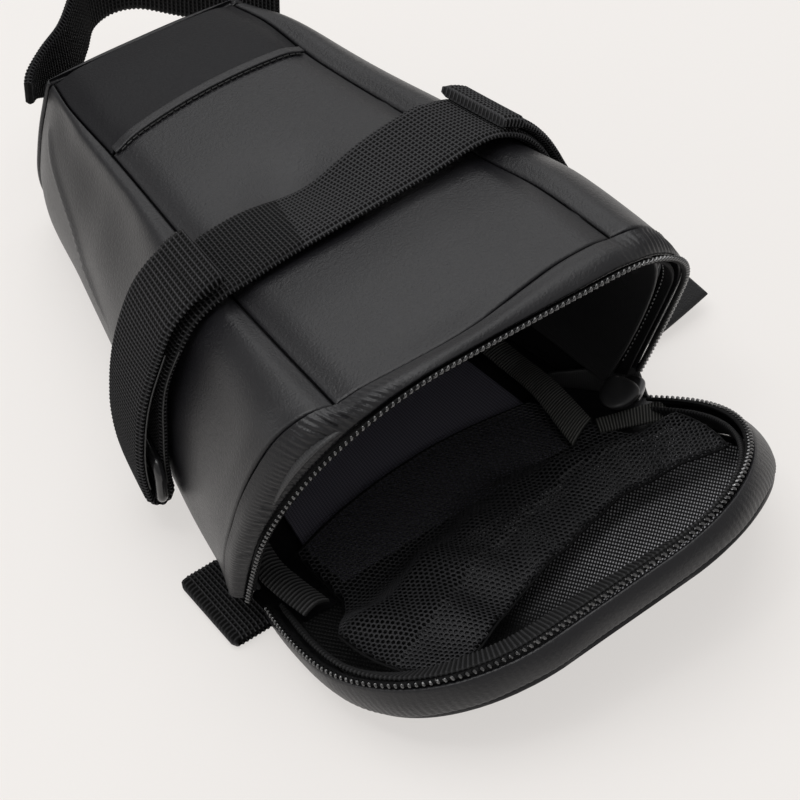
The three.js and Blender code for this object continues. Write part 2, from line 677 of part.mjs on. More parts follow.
// Body lining: from one foot over the top to the other, set in from the shell
function liningWall(u, v) {
  const { rear, front, foot, sideShare, inset } = LINING_WALL;
  const y = along(BODY_REAR + rear, BODY_END - front, v);
  const shell = (w) => {
    if (w < sideShare) return sidePoint(-1, y, along(foot, 1, w / sideShare), 0);
    if (w > 1 - sideShare) return sidePoint(1, y, along(foot, 1, (1 - w) / sideShare), 0);
    return topPoint(y, ((w - sideShare) / (1 - 2 * sideShare)) * 2 - 1);
  };
  const row = sectionAt(y);
  const p = shell(u);
  const inward = onSection(row, 0, row.top / 2).sub(p).normalize();
  return p.addScaledVector(inward, inset);
}

function liningFloor(u, v) {
  const y = along(LINING_FLOOR.rear, BODY_END - LINING_FLOOR.short, v);
  const row = sectionAt(Math.max(y, BODY_REAR));
  const half = row.foot - along(LINING_FLOOR.insetRear, LINING_FLOOR.insetFront, v);
  return new THREE.Vector3(row.drift + half * (2 * u - 1), y, WALL + GAP + LINING);
}

// Folded ribbon standing for a ribbed binding on the floor
function bindingPoint(row, u, v) {
  const { path, curl, slant } = row;
  const y = along(path[0].y, path[path.length - 1].y, v);
  const at = (key) => column(path, "y", key, y);
  const bulge = curl * Math.sin(Math.PI * u) * (1 - BINDING_RUN.flatten * v);
  const cut = slant * (u - 0.5) * (1 - v) ** BINDING_RUN.cutFade;
  return new THREE.Vector3(at("x") + at("wide") * (u - 0.5), y + cut, at("z") + bulge);
}

// Rail strap path: run along the webbing from the left free end to the right free end, in steps
function strapRow(run) {
  const { outer, turn, inner, top } = STRAP_STEPS;
  const step = run * STRAP_COUNT;
  if (step > STRAP_HALF && step < STRAP_HALF + top) return { across: (2 * (step - STRAP_HALF)) / top - 1 };
  const side = step <= STRAP_HALF ? -1 : 1;
  const from = side < 0 ? step : STRAP_COUNT - step;
  const end = STRAP_END[SIDE_NAME[side]];
  if (from <= outer) return layer(side, "Back", along(end, STRAP.loopUp, from / outer));
  if (from <= outer + turn) return loopTurn(side, (from - outer) / turn);
  return layer(side, "", along(STRAP.loopUp, 1, (from - outer - turn) / inner));
}

// Front face of a layer: the outer layer is set off by its lift, the inner one by its own thickness too
function layer(side, back, up) {
  const lift = column(STRAP_SIDE, "up", SIDE_NAME[side] + back, up);
  return { side, up, lift: back ? lift : lift + WEBBING };
}

// The webbing turns round the loop's lower bar
function loopTurn(side, t) {
  const angle = Math.PI * t;
  const middle = layer(side, "", STRAP.loopUp).lift + STRAP.fold / 2;
  const start = layer(side, "Back", STRAP.loopUp).lift - middle;
  const reach = along(start, STRAP.fold / 2, t) * Math.cos(angle);
  return { side, up: STRAP.loopUp - STRAP.turn * Math.sin(angle), lift: middle + reach };
}

// Shell surface under the strap at a true place along Y, with the seam grooves bridged
function strapSurface(row, y) {
  const pick = (at) => (row.side ? sidePoint(row.side, at, row.up, 0, 0) : topPoint(at, row.across, 0));
  let at = y;
  for (let i = 0; i < 6; i += 1) at += y - pick(at).y;
  return pick(at);
}

function strapNormal(row, y) {
  const step = 0.01;
  const { side, up, across } = row;
  const moved = (d) => (side ? { side, up: Math.min(up + d, 1) } : { across: across + d });
  const alongRun = strapSurface(moved(step), y).sub(strapSurface(moved(-step), y));
  const alongY = strapSurface(row, y + step).sub(strapSurface(row, y - step));
  const normal = alongRun.cross(alongY).normalize();
  return side > 0 ? normal.negate() : normal;
}

// The webbing draws in where it passes through the loop
function strapEdges(row) {
  const pinch = row.side ? PINCH.deep * Math.exp(-(((row.up - STRAP.loopUp) / PINCH.reach) ** 2)) : 0;
  return { near: STRAP.near + PINCH.near * pinch, far: STRAP.far - (1 - PINCH.near) * pinch };
}

function strapPoint(u, v) {
  const row = strapRow(u);
  const edges = strapEdges(row);
  const y = along(edges.near, edges.far, v);
  let lift = row.lift;
  if (!row.side) {
    const edge = (key) => column(STRAP_TOP, "across", key, row.across);
    lift = along(edge("near"), edge("far"), v) + WEBBING;
  }
  return strapSurface(row, y).addScaledVector(strapNormal(row, y), lift);
}

// Place of a strap loop: middle of its lower bar, and its directions along Y, up and out
function loopFrame(side) {
  const row = { side, up: STRAP.loopUp };
  const edges = strapEdges(row);
  const y = (edges.near + edges.far) / 2;
  const foot = strapSurface(row, y);
  const upward = strapSurface({ side, up: STRAP.loopTop }, y).sub(foot).normalize();
  const edge = strapSurface(row, STRAP.far).sub(strapSurface(row, STRAP.near));
  const sideways = edge.addScaledVector(upward, -edge.dot(upward)).normalize();
  const out = sideways.clone().cross(upward).multiplyScalar(-side);
  const lift = layer(side, "", STRAP.loopUp).lift + STRAP.fold / 2;
  const bar = foot.addScaledVector(strapNormal(row, y), lift);
  return { bar, sideways, upward, out };
}

// Plastic rectangular loop: flattened bar swept round a rounded rectangle in its own plane
function loopRings(side) {
  const { bar, sideways, upward, out } = loopFrame(side);
  const middle = bar.clone().addScaledVector(upward, (LOOP.tall - LOOP.bar) / 2);
  const halfWide = (LOOP.wide - LOOP.bar) / 2 - LOOP.corner;
  const halfTall = (LOOP.tall - LOOP.bar) / 2 - LOOP.corner;
  const list = [];
  [[1, 1], [-1, 1], [-1, -1], [1, -1]].forEach(([wideSide, tallSide], k) => {
    for (let i = 0; i <= LOOP_STEPS.corner; i += 1) {
      const angle = (k + i / LOOP_STEPS.corner) * (Math.PI / 2);
      const ring = [];
      for (let j = 0; j < LOOP_STEPS.round; j += 1) {
        const round = (j / LOOP_STEPS.round) * 2 * Math.PI;
        const reach = LOOP.corner + (LOOP.bar / 2) * Math.cos(round);
        const p = middle.clone().addScaledVector(sideways, wideSide * halfWide + reach * Math.cos(angle));
        p.addScaledVector(upward, tallSide * halfTall + reach * Math.sin(angle));
        ring.push(p.addScaledVector(out, (LOOP.bar / 2) * LOOP.flat * Math.sin(round)));
      }
      list.push(ring);
    }
  });
  return list;
}

// Seatpost strap standing on edge along its plan curve
const postCurve = new THREE.CatmullRomCurve3(POST_PATH.map((p) => new THREE.Vector3(p.x, p.y, 0)));

function postStrap(u, v) {
  const p = postCurve.getPoint(u);
  const rows = POST_PATH.map((row, i) => ({ at: i / (POST_PATH.length - 1), ...row }));
  p.x += column(rows, "at", "lean", u) * (1 - v);
  p.z = along(column(rows, "at", "low", u), column(rows, "at", "high", u), v);
  return p;
}

// Block with rounded ends lying flat, turned about Z
function lozenge(row, taper) {
  const list = [];
  const turn = THREE.MathUtils.degToRad(row.turn);
  const lengthways = new THREE.Vector3(Math.cos(turn), Math.sin(turn), 0);
  const sideways = new THREE.Vector3(-Math.sin(turn), Math.cos(turn), 0);
  const squared = (value) => Math.sign(value) * Math.abs(value) ** LOZENGE.square;
  for (let i = 0; i <= LOZENGE.rings; i += 1) {
    const s = (i / LOZENGE.rings) * 2 - 1;
    const swell = Math.sqrt(Math.max(1 - Math.abs(s) ** 3, LOZENGE.tip)) * (1 + taper * s);
    const ring = [];
    for (let j = 0; j < LOZENGE.round; j += 1) {
      const angle = (j / LOZENGE.round) * 2 * Math.PI;
      const p = new THREE.Vector3(row.x, row.y, row.z);
      p.z += (row.tall / 2) * squared(Math.sin(angle)) * Math.min(1, swell * LOZENGE.full);
      p.addScaledVector(lengthways, (s * row.long) / 2);
      ring.push(p.addScaledVector(sideways, (row.wide / 2) * squared(Math.cos(angle)) * swell));
    }
    list.push(ring);
  }
  return rings(list, false);
}

// Left tab: a short length of webbing folded flat, seen from its fold
function tabLeft(u, v) {
  const { near, far, inner, innerFar, outer, thick, fold, z, swing } = TAB_LEFT;
  const y = along(near, far, v);
  const root = along(inner, innerFar, v);
  const radius = fold / 2;
  const bend = outer + thick + radius + swing * (y - near);
  const middle = z + thick + radius;
  const { from, to } = TAB_FOLD;
  if (u < from) return new THREE.Vector3(along(root, bend, u / from), y, middle - radius);
  if (u > to) return new THREE.Vector3(along(bend, root, (u - to) / (1 - to)), y, middle + radius);
  const angle = ((u - from) / (to - from)) * Math.PI;
  return new THREE.Vector3(bend - radius * Math.sin(angle), y, middle - radius * Math.cos(angle));
}

// Right tab: a flat end lying out to the side, lifted toward its tip
function tabRight(u, v) {
  const { near, far, inner, innerFar, outer, swing, z, rise, thick } = TAB_RIGHT;
  const x = along(along(inner, innerFar, v), outer, u);
  const y = along(near, far, v) + swing * (x - inner);
  return new THREE.Vector3(x, y, z + thick + rise * u * u);
}

const part = new THREE.Group();
part.name = "saddle_bag";

function add(name, geometry, color, roughness, metalness = 0) {
  geometry.translate(HINGE_X, HINGE_Y, 0);
  const mesh = new THREE.Mesh(geometry, new THREE.MeshStandardMaterial({ color, roughness, metalness }));
  mesh.name = name;
  part.add(mesh);
}

const COATED = 0x2b2b2d;
const DARK = 0x161617;
const NAVY = 0x1b1c24;
const BLACK = 0x121213;
const STEEL = 0x8a8a8a;

// Shell panels
const topRear = (u, v) => {
  const across = 2 * u - 1;
  return topPoint(along(rimTop(across), hemLine(across) - HEM_GAP, v), across);
};
const topFront = (u, v) => topPoint(along(hemLine(2 * u - 1), BODY_END, v), 2 * u - 1);
add("top_panel", sheet(topRear, 12, 12, WALL), COATED, 0.6);
add("top_front_panel", sheet(topFront, 12, 4, WALL), DARK, 0.6);
const sideLeft = (u, v) => sidePoint(-1, along(BODY_END, rimSide(-1, v), u), v);
const sideRight = (u, v) => sidePoint(1, along(rimSide(1, v), BODY_END, u), v);
add("side_panel_left", sheet(sideLeft, 14, 12, WALL), COATED, 0.6);
add("side_panel_right", sheet(sideRight, 14, 12, WALL), COATED, 0.6);

// The underside runs back to the edge of the lid's panel, where the cloth hinge is
function bottomRear(across) {
  const x = bottomPoint(BODY_REAR, across).x - LID_AT.x;
  const hinge = LID_AT.y - lidRoom(0, 0) * Math.sin(THREE.MathUtils.degToRad(LID_AT.rise));
  return hinge + GAP + x * Math.tan(THREE.MathUtils.degToRad(LID_AT.yaw));
}
const bottom = (u, v) => {
  const across = 1 - 2 * u;
  return bottomPoint(along(bottomRear(across), BODY_END, v ** BOTTOM_CROWD), across);
};
add("bottom_panel", sheet(bottom, 4, 12, WALL), COATED, 0.6);

// Narrow end: a slightly bulged panel inside the outline of the last section
function frontPanel(u, v) {
  const left = sidePoint(-1, BODY_END, v);
  const right = sidePoint(1, BODY_END, v);
  const rim = (1 - Math.abs(2 * u - 1) ** 3) * (1 - Math.abs(2 * v - 1) ** 3);
  return left.lerp(right, u).add(new THREE.Vector3(0, WALL + GAP + FRONT_BULGE * rim, 0));
}
add("front_panel", sheet((u, v) => frontPanel(1 - u, along(FRONT_FROM, 1, v)), 8, 10, WALL), COATED, 0.6);

// Line of the joint between the two top panels
function hemLine(across) {
  return HEM.y + HEM.bow + HEM.skew * across - HEM.round * across * across;
}

// Folded edge lying over the joint of the two top panels
function hemPoint(u, v) {
  const across = (2 * u - 1) * HEM_SHARE;
  const p = topPoint(hemLine(across) - HEM_WIDTH * (1 - v) + HEM_OVER, across);
  p.z += HEM_RISE + GAP;
  return p;
}
add("top_hem", sheet(hemPoint, 12, 2, HEM_RISE), COATED, 0.6);

// Zip round the opening
add("rim_band", sheet((u, v) => rimBand(1 - u, v), 40, 3, WALL), COATED, 0.55);
add("zip_tape_rim", sheet((u, v) => rimTape(1 - u, v), 40, 1, TAPE), BLACK, 0.8);
const beadRings = (shape, ends, place) => {
  const list = [];
  for (let i = 0; i <= BEAD_STEPS; i += 1) list.push(bead(shape, place, onEnds(ends, i / BEAD_STEPS)));
  return rings(list, false);
};
add("zip_teeth_rim", beadRings(RIM, RIM_ENDS, onRim), BLACK, 0.4);

// Lid
add("lid_band", sheet((u, v) => lidBand(1 - u, v), 40, 3, WALL), COATED, 0.55);
add("zip_teeth_lid", beadRings(LID, LID_ENDS, (u, v, off) => onLid(u, v, off + GAP)), BLACK, 0.4);
add("lid_panel", sheet((u, v) => lidPanel(u, v), 12, 10, WALL), COATED, 0.6);
add("lid_tape", sheet((u, v) => lidTape(1 - u, v), 40, 1, TAPE), BLACK, 0.8);
const lidLining = (u, v) => {
  return lidPanel(u, LINING_RUN.from + LINING_RUN.share * v, LINING_INSET, WALL + 2 * GAP);
};
add("lid_lining", sheet(lidLining, 12, 8, LINING), NAVY, 0.9);
add("mesh_pocket", sheet(meshPocket, 14, 12, MESH_THICK), BLACK, 0.9);

// Linings and bindings inside the body
add("lining_walls", sheet(liningWall, 24, 6, LINING), BLACK, 0.9);
add("lining_floor", sheet(liningFloor, 6, 8, LINING), NAVY, 0.9);
for (const row of BINDINGS) add(row.name, sheet((u, v) => bindingPoint(row, u, v), 4, 8, TAPE), BLACK, 0.9);

// Straps, loops and tabs
add("rail_strap", sheet(strapPoint, STRAP_COUNT, 1, WEBBING), BLACK, 0.85);
for (const side of [-1, 1]) add(`strap_loop_${SIDE_NAME[side]}`, rings(loopRings(side), true), BLACK, 0.3);
add("post_strap", sheet(postStrap, 32, 1, WEBBING), BLACK, 0.85);
add("rear_tab_left", sheet((u, v) => tabLeft(u, 1 - v), 20, 1, TAB_LEFT.thick), BLACK, 0.85);
add("rear_tab_right", sheet(tabRight, 8, 1, TAB_RIGHT.thick), BLACK, 0.85);

// Zip slider and pull
add("zip_slider", lozenge(SLIDER, TAPER.slider), STEEL, 0.35, 1);
add("zip_pull", lozenge(PULL, TAPER.pull), BLACK, 0.5);

export default part;
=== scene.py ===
"""Looks of a bicycle saddle bag that lies unzipped with its lid folded open."""
import math
from types import SimpleNamespace as Named

import bpy
import numpy as np
from mathutils import Matrix


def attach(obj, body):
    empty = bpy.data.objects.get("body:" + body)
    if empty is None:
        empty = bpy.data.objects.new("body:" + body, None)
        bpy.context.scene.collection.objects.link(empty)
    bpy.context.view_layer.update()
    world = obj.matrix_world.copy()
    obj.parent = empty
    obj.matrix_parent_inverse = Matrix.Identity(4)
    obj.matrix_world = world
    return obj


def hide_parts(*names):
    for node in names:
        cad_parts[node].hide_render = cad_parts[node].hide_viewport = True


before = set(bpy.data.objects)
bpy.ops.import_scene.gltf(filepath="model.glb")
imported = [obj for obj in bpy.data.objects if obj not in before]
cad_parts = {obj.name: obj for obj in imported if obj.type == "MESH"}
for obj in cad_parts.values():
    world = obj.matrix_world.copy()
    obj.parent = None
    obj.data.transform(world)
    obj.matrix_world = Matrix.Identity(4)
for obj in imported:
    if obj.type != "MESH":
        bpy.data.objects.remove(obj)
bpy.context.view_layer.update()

# Place of the cloth hinge's middle; all shapes below are in millimetres from it
HINGE = np.array([-12.05, -42.06, 0.0])
METRE = 0.001
FLOOR_CLEAR = 0.02
SIDE_NAME = {-1: "left", 1: "right"}

# Cloth, webbing and tape thicknesses, and the gap between neighbouring pieces
WALL = 1.4
LINING = 1.0
WEBBING = 1.8
TAPE = 1.0
GAP = 0.35


def table(names, *rows):
    """Named columns of a short table; the first column is the place."""
    return dict(zip(names.split(), np.array(rows, float).T))


# Sewn shell: cross-sections from the rim to the narrow end
SECTIONS = table(
    "y lean drift turn foot left right seam belly top",
    (7.4, 0.28, 0.0, 0.0, 46.5, 59.0, 56.6, 37.5, 34, 71.0),
    (31, 0.25, 1.2, 0.0, 41.0, 53.6, 56.0, 35.9, 31, 67.6),
    (46, 0.23, 1.9, 0.01, 37.0, 49.6, 53.2, 33.8, 29, 63.8),
    (65, 0.2, 2.7, 0.02, 31.0, 43.7, 49.5, 31.0, 27.5, 60.2),
    (95, 0.16, 4.1, 0.05, 22.5, 35.6, 42.6, 26.9, 26, 55.5),
    (113, 0.14, 5.2, 0.08, 17.5, 31.0, 36.3, 25.7, 25, 53.5),
    (123, 0.13, 5.9, 0.09, 14.5, 26.6, 30.5, 23.6, 24, 51.6),
)
BODY_REAR = SECTIONS["y"][0]
BODY_END = SECTIONS["y"][-1]

# How far the seam of the rim band lies behind the first section, over the top and up both sides
RIM_BACK_TOP = table(
    "across back", (-1.0, 2.0), (-0.5, 0.6), (-0.1, 0.4), (0.3, 2.4), (0.6, 3.6), (1.0, 3.4),
)
RIM_BACK_SIDE = table(
    "up left right",
    (0.0, 0.0, 0.0), (0.16, 0.5, 0.2), (0.45, 2.0, 0.4), (0.75, 4.0, 1.0), (0.9, 3.4, 2.2), (1.0, 2.0, 3.4),
)

# Roundness of the sides, bow of the top, spread of the underside at the hinge and groove of the seams
BELLY_AT = 0.45
SHOULDER = {-1: 2.5, 1: 2.2}
CROWN = 1.2
HINGE_FLARE = Named(start=0.5, end=2.5, left=50.6, right=57.0)
HINGE_LAP = 1.2
BOTTOM_LAP = 0.4
SEAM_DIP = 1.6
SEAM_DIP_WIDTH = 3.5
FRONT = Named(bulge=3.0, foot=0.07, power=3)

# Soft dents: side, place along Y and up the side, reach along and up, depth
DENTS = ((-1, 92, 0.72, 26, 0.14, 2.2), (-1, 38, 0.66, 14, 0.12, 1.4), (1, 70, 0.3, 30, 0.16, 1.6))
TOP_DENT = Named(x=-4, y=63, wide=13, long=11, depth=3.4)
SEAM_CALM = 7.0

# Crease of the left side, and hollows by place along Y and up the side, reach and depth
CREASE = table(
    "y up tall", (72, 0.37, 0.0), (80, 0.4, 0.5), (96.5, 0.48, 0.8), (110.5, 0.57, 0.6), (117, 0.65, 0.0),
)
CREASE_WIDE = 1.3
HOLLOWS = ((113, 0.81, 6.0, 0.8), (85, 0.7, 11.0, 1.2), (94, 0.62, 8.0, 0.8))
HEM = Named(y=97, bow=3.2, skew=1.4, round=1.9, wide=2.1, rise=0.65, share=0.985, ahead=0.8, clear=0.2)

# Zip lines of the opening and of the lid, where they stand, and the shares of them that are sewn
RIM = Named(foot=110.2, shoulder=113.9, tall=68.7, left=41.6, right=27.9, crown=1.3, slope=-4.2)
RIM_AT = Named(x=1.0, y=1.1, z=5.5, lean=math.radians(16.1))
RIM_ENDS = (0.02, 0.994)
LID = Named(foot=102, shoulder=110.6, tall=66.3, left=36.4, right=44.5, crown=0, slope=0)
LID_AT = Named(x=1.8, y=-1.7, z=3.5, rise=math.radians(26.5), twist=9.2, yaw=math.radians(-2.7), shear=0.4)
LID_ENDS = (0.01, 0.985)
ZIP_STEPS = 24
ZIP_TOP_STEPS = 16
ZIP_NEAR = 0.004

# Band and tape round the opening, and the band's gathers by share of its length and width
BAND_BULGE = 1.5
BAND_FLAT = Named(start=0.62, end=0.78, share=0.9)
RIM_TAPE_FROM = 0.45
RIM_TAPE_INSET = WALL + 2 * GAP + 0.4
SEAM_GAP = 0.4
RIM_FOOT = 0.16
FINE_GATHERS = Named(pitch=1.1, deep=0.16, start=0.35, end=0.7)
COARSE_GATHERS = Named(pitch=1.6, deep=0.28)
GATHER_WOBBLE = 0.8
GATHER_LEFT = Named(start=0.62, end=0.8)
GATHER_RIGHT = Named(start=0.14, end=0.3, share=0.8)
GATHER_CORNERS = ((0.68, 0.05, 1.0), (0.27, 0.06, 0.8))
BAND_UNEVEN = 0.1
SEAM_LIP = Named(at=0.5, wide=0.4, tall=0.35)

# Lid: band, slimmer toward its far edge, domed panel, lining and ribbed tape
LID_BAND = 9.0
LID_SLIM = Named(x=2.0, reach=52.0, deep=2.9, start=26.0, end=60.0)
LID_ROLL = Named(tall=1.6, start=0.15, end=0.85)
LID_LAP = 0.5
LID_DOME = Named(deep=4.0, across=4, out=8)
LID_FLOOR = 0.35
LID_GATHERS = Named(pitch=1.7, deep=0.06, uneven=0.14)
LID_LINING = Named(inset=3.6, near=1.5, start=0.1, end=0.96)
LID_TAPE = Named(wide=5.0, edge=0.6, inset=2.35, lean=5.6, flat=1.4)
LID_TAPE_LEAN = table(
    "run share", (0.0, 0.0), (0.12, 0.2), (0.22, 0.6), (0.32, 1.0), (0.46, 1.0), (0.58, 0.7), (0.68, 0.2),
    (0.76, 0.0), (1.0, 0.0),
)

# Coil of the zips: bent bar of a tooth, outward, off its plane and along the zip, and the core cord
TOOTH_PITCH = 1.55
TOOTH_RADIUS = 0.37
TOOTH = table(
    "side off lean", (-0.55, -0.6, -0.3), (-0.25, -0.95, -0.15), (0.1, -1.05, 0.1), (0.4, -0.75, 0.3),
)
COIL_CORE = Named(half_wide=0.7, side=-0.6, half_tall=0.5, off=-0.55, rings=160, sides=8)

# Mesh pocket: sewn edge in the body, valley of its fold (both along Y) and open edge in the lid
MESH_BEND = 0.25
MESH_SEWN = Named(x=-2.0, half=34.0)
MESH_LOW = 4.6
MESH_CLIMB = 0.4
MESH_SLACK = Named(belly=1.5, high=1.6, power=1.6)
MESH_INSET = Named(left=8.5, right=6.0)
MESH_SPREAD = Named(start=0.86, gain=0.4)
MESH_EDGE = table(
    "across sewn fold out deep",
    (-1.0, 6.8, -10.4, 53, 4.4), (-0.6, 10.2, -8.0, 47, 4.6), (-0.25, 12.0, -3.0, 39, 4.8),
    (0.0, 12.6, -0.8, 35, 5.2), (0.2, 12.8, 2.0, 31, 5.4), (0.5, 12.2, -3.4, 27, 5.2),
    (0.75, 11.0, -6.8, 31, 3.8), (1.0, 9.6, -8.0, 38, 2.6),
)

# Knit of the mesh: hexagon holes, doubled hem, soft folds and the depths of its four layers of points
MESH_PITCH = 1.25
MESH_HOLE = 0.7
MESH_WIDE = 52.0
MESH_TRIM = 0.985
MESH_HEM = 13.0
MESH_STEP = 0.5
MESH_STEP_AT = Named(start=-1.5, end=0.5)
MESH_HEM_SHIFT = 0.4 * MESH_PITCH
MESH_HEM_UNDER = 0.6
MESH_FOLD = 0.7
MESH_FOLD_FULL = 0.5
MESH_DEPTH = Named(front=0.0, front_hole=-0.14, back=-0.4, back_hole=-0.3)
MESH_CORD = Named(radius=0.3, sides=8, low=0.3, trim=0.99)

# Lining of the body, and how its crumpling grows toward the right
LINING_WALL = Named(foot=0.15, rear=-3.5, short=3, side_share=0.36, off=4.8, aim=0.5)
CRUMPLE = Named(left=0.6, right=2.0, start=0.55, end=0.7, calm=9)
LINING_FLOOR = Named(rear=-4.5, short=5.5, inset_rear=15, inset_front=5)

# Ribbed bindings on the inside floor: middle line, width and height from the rear end to the front one
TAPE_RIB = 1.1
FINE_RIB = 0.72
BINDINGS = {
    "binding_left": Named(
        curl=2.0, slant=0.0, rib=TAPE_RIB, look="ribbed_coarse", line=table(
            "y x wide z",
            (-9.5, -42.4, 7.4, 6.6), (0, -42.9, 7.4, 5.2), (8, -42.6, 7.0, 4.2), (20, -39.5, 6.6, 4.0),
            (30, -36.8, 6.6, 4.0),
        )),
    "binding_right": Named(
        curl=0.8, slant=3.6, rib=FINE_RIB, look="ribbed_fine", line=table(
            "y x wide z",
            (-6.4, 34.0, 8.6, 7.4), (0, 34.8, 8.0, 7.4), (8, 35.9, 7.0, 7.0), (14, 36.6, 6.6, 5.8),
            (21, 37.2, 6.4, 4.0), (34, 36.0, 6.4, 4.0), (60, 29.0, 6.4, 4.0),
        )),
}
BINDING_FADE = 4
BINDING_FLATTEN = 0.6
BINDING_POINTS = 8
BINDING_RELIEF = 0.2

# Rail strap and its lift off the shell over the top and down both sides
STRAP = Named(near=30.2, far=49.8, fold=3.2, up=0.3, top=0.44, turn=0.03)
STRAP_ROWS = Named(outer=84, turn=36, inner=72, top=60, across=16)
PINCH = Named(deep=3.6, near=0.1, reach=0.12)
STRAP_END = {-1: 0.975, 1: 0.94}
STRAP_TOP = table(
    "across near far",
    (-1.0, 0.8, 1.3), (-0.6, 1.2, 1.6), (-0.15, 1.4, 0.7), (0.05, 1.4, 0.7), (0.5, 1.7, 2.6), (0.9, 3.0, 3.8),
    (1.0, 2.9, 3.4),
)
STRAP_SIDE = table(
    "up left left_back right right_back",
    (0.24, 0.45, 5.45, 0.7, 5.7), (0.3, 0.45, 5.45, 0.7, 5.7), (0.37, 0.5, 5.9, 0.45, 6.3),
    (0.46, 0.9, 6.3, 0.4, 6.8), (0.6, 2.6, 6.5, 0.6, 3.6), (0.75, 1.8, 6.2, 0.7, 3.1),
    (0.9, 0.9, 5.2, 1.9, 4.7), (1.0, 1.0, 5.4, 3.1, 6.0),
)
STRAP_HEM = Named(long=6.0, rise=0.5, blend=0.3, thread=0.12, stitched=1.2)
STRAP_EDGES = ((20.0, 60.0), (72.0, 112.0))
EDGE_CORD = Named(radius=0.17, sides=6, ahead=0.25, low=0.3)
LOOP = Named(wide=23.0, tall=14.0, bar=3.0, flat=0.85, corner=3.0)

# Weave of the webbing: ribs, knobs of its edges, knots across and the kink past which its pattern changes
RIB_PITCH = 1.06
RIB_RELIEF = 0.25
RIB_SHARP = 2.0
RIB_POINTS = 7
TAPE_RIB_MIDDLE = 0.7
KNOBS = Named(deep=0.22, reach=0.4)
KNOT_PITCH = 1.1
KINK = Named(at=148.2, skew=0.22)

# Seatpost strap: plan of the webbing, standing on edge
POST_PATH = table(
    "at x y low high lean",
    *((i / 11, *row) for i, row in enumerate((
        (-21.4, 122.0, 43.0, 49.6, 0.0), (-18.4, 125.2, 40.0, 50.0, 0.6), (-12.4, 129.0, 34.0, 50.4, 1.4),
        (-4.6, 133.2, 29.5, 50.3, 2.4), (3.2, 139.8, 29.0, 50.0, 2.6), (9.4, 145.6, 28.5, 50.0, 2.4),
        (16.8, 147.6, 28.0, 50.0, 1.4), (23.4, 144.6, 29.0, 50.0, 0.0), (28.6, 138.0, 29.0, 50.0, 0.0),
        (33.4, 130.6, 29.5, 50.0, 0.0), (37.9, 122.6, 30.0, 50.0, 0.0), (41.6, 114.0, 30.5, 50.0, 0.0),
    ))),
)
TAB_LEFT = Named(
    near=-3.6, far=17.4, inner=-49.5, outer=-60.4, thick=1.4, fold=0.5, z=0.1, swing=0.05, flat=0.35,
)
TAB_RIGHT = Named(
    near=7.1, far=27.1, inner=48.4, inner_far=47.0, outer=84, thick=1.6, swing=0.05, z=0.3, rise=5.0,
)

# Zip slider and pull: rounded blocks by place, size, turn, and taper toward one end
SLIDER = Named(x=51.2, y=-3.5, z=6.9, long=7.6, wide=5.0, tall=3.0, turn=math.radians(35), taper=0.1)
PULL = Named(x=46.0, y=-4.4, z=10.0, long=9.5, wide=8.0, tall=2.4, turn=math.radians(18), taper=0.15)
BLOCK = Named(rings=41, sides=40, power=3, tip=0.02, square=0.6, full=1.1)

# Corners of the facing and of the tape's end at the right hinge corner
HINGE_FACING = ((56.4, -3.4, 1.2), (56.2, 0.9, 8.8), (40.4, 14.0, 1.2), (41.4, 14.0, 4.6))
HINGE_TAPE = ((38.2, -7.6, 5.4), (39.6, -4.2, 6.0), (52.6, -13.8, 5.4), (56.4, -9.4, 6.0))

# Rows of stitches: pitch, length and radius of the thread
STITCH = {
    "hem": (1.75, 1.1, 0.2), "rim": (1.7, 0.5, 0.15), "mesh": (2.5, 1.4, 0.13), "strap": (1.3, 0.95, 0.14),
}
STITCH_POINTS = 4
STITCH_SIDES = 6

# Meshes: rounding of borders by share of the thickness, extra ticks near them, sharp edges and tips of bars
CLOTH_ROUND = 0.48
WEBBING_ROUND = 0.45
BORDER_TICKS = np.array([0.1, 0.3, 0.6])
SHARP_ANGLE = math.radians(55)
BAR_TIP = 0.7
BAR_ASIDE = (0.3, 0.7, 0.2)
CURVE_PAST = 0.2
SETTLE_ROUNDS = 6
SURFACE_STEP = 1e-3
STRAP_STEP = 0.01
CUT_POINTS = 61

# Scales of the finest unevenness in the looks, and the directions of the canvas's threads
FUZZ_SCALE = 4000.0
GRAIN = Named(scale=1500.0, speckle=3400.0, slow=60.0, dark=0.86, light=1.18, deep=0.11)
YARN_PITCH = 0.4
THREADS = ((0.68, -0.73, 0.115), (0.592, 0.462, 0.655))

# Studio: paper that glows a little from below, and softboxes by place in metres, size and power
FLOOR = Named(paper=(0.27, 0.263, 0.256), glow=(1.0, 0.965, 0.935), lit=0.6, half=3.0)
WORLD_LIGHT = Named(color=(1.0, 0.99, 0.98, 1), strength=0.4)
SOFTBOXES = (
    ("softbox_top", (-0.1, 0.15, 1.1), 1.0, 7.0), ("softbox_back", (0.6, 0.75, 0.9), 0.8, 2.6),
    ("softbox_left", (-1.0, 0.5, 0.45), 0.5, 1.6), ("spot_key", (-0.35, -0.05, 0.9), 0.14, 0.6),
)
SOFTBOX_AIM = (0, 0, 0.03)

# Camera fitted to the photo: focal length in photo pixels, angles, distance and shift in millimetres
PHOTO_SIDE = 800
CAMERA = Named(focal=4485.41, azimuth=-38.54, elevation=48.35, roll=0.29, away=988.5, x=-9.66, y=23.85)


# Small helpers

def vec(x, y, z):
    return np.stack(np.broadcast_arrays(np.asarray(x, float), y, z), axis=-1)


def along(a, b, t):
    return a + (b - a) * t


def unit(v):
    return v / np.maximum(np.linalg.norm(v, axis=-1, keepdims=True), 1e-9)


def even(count):
    return np.linspace(0, 1, count)


def grid(a, b):
    return np.meshgrid(a, b, indexing="ij")


def bell(x):
    return np.exp(-(x**2))


def smooth(value, low, high):
    t = np.clip((value - low) / (high - low), 0, 1)
    return t * t * (3 - 2 * t)


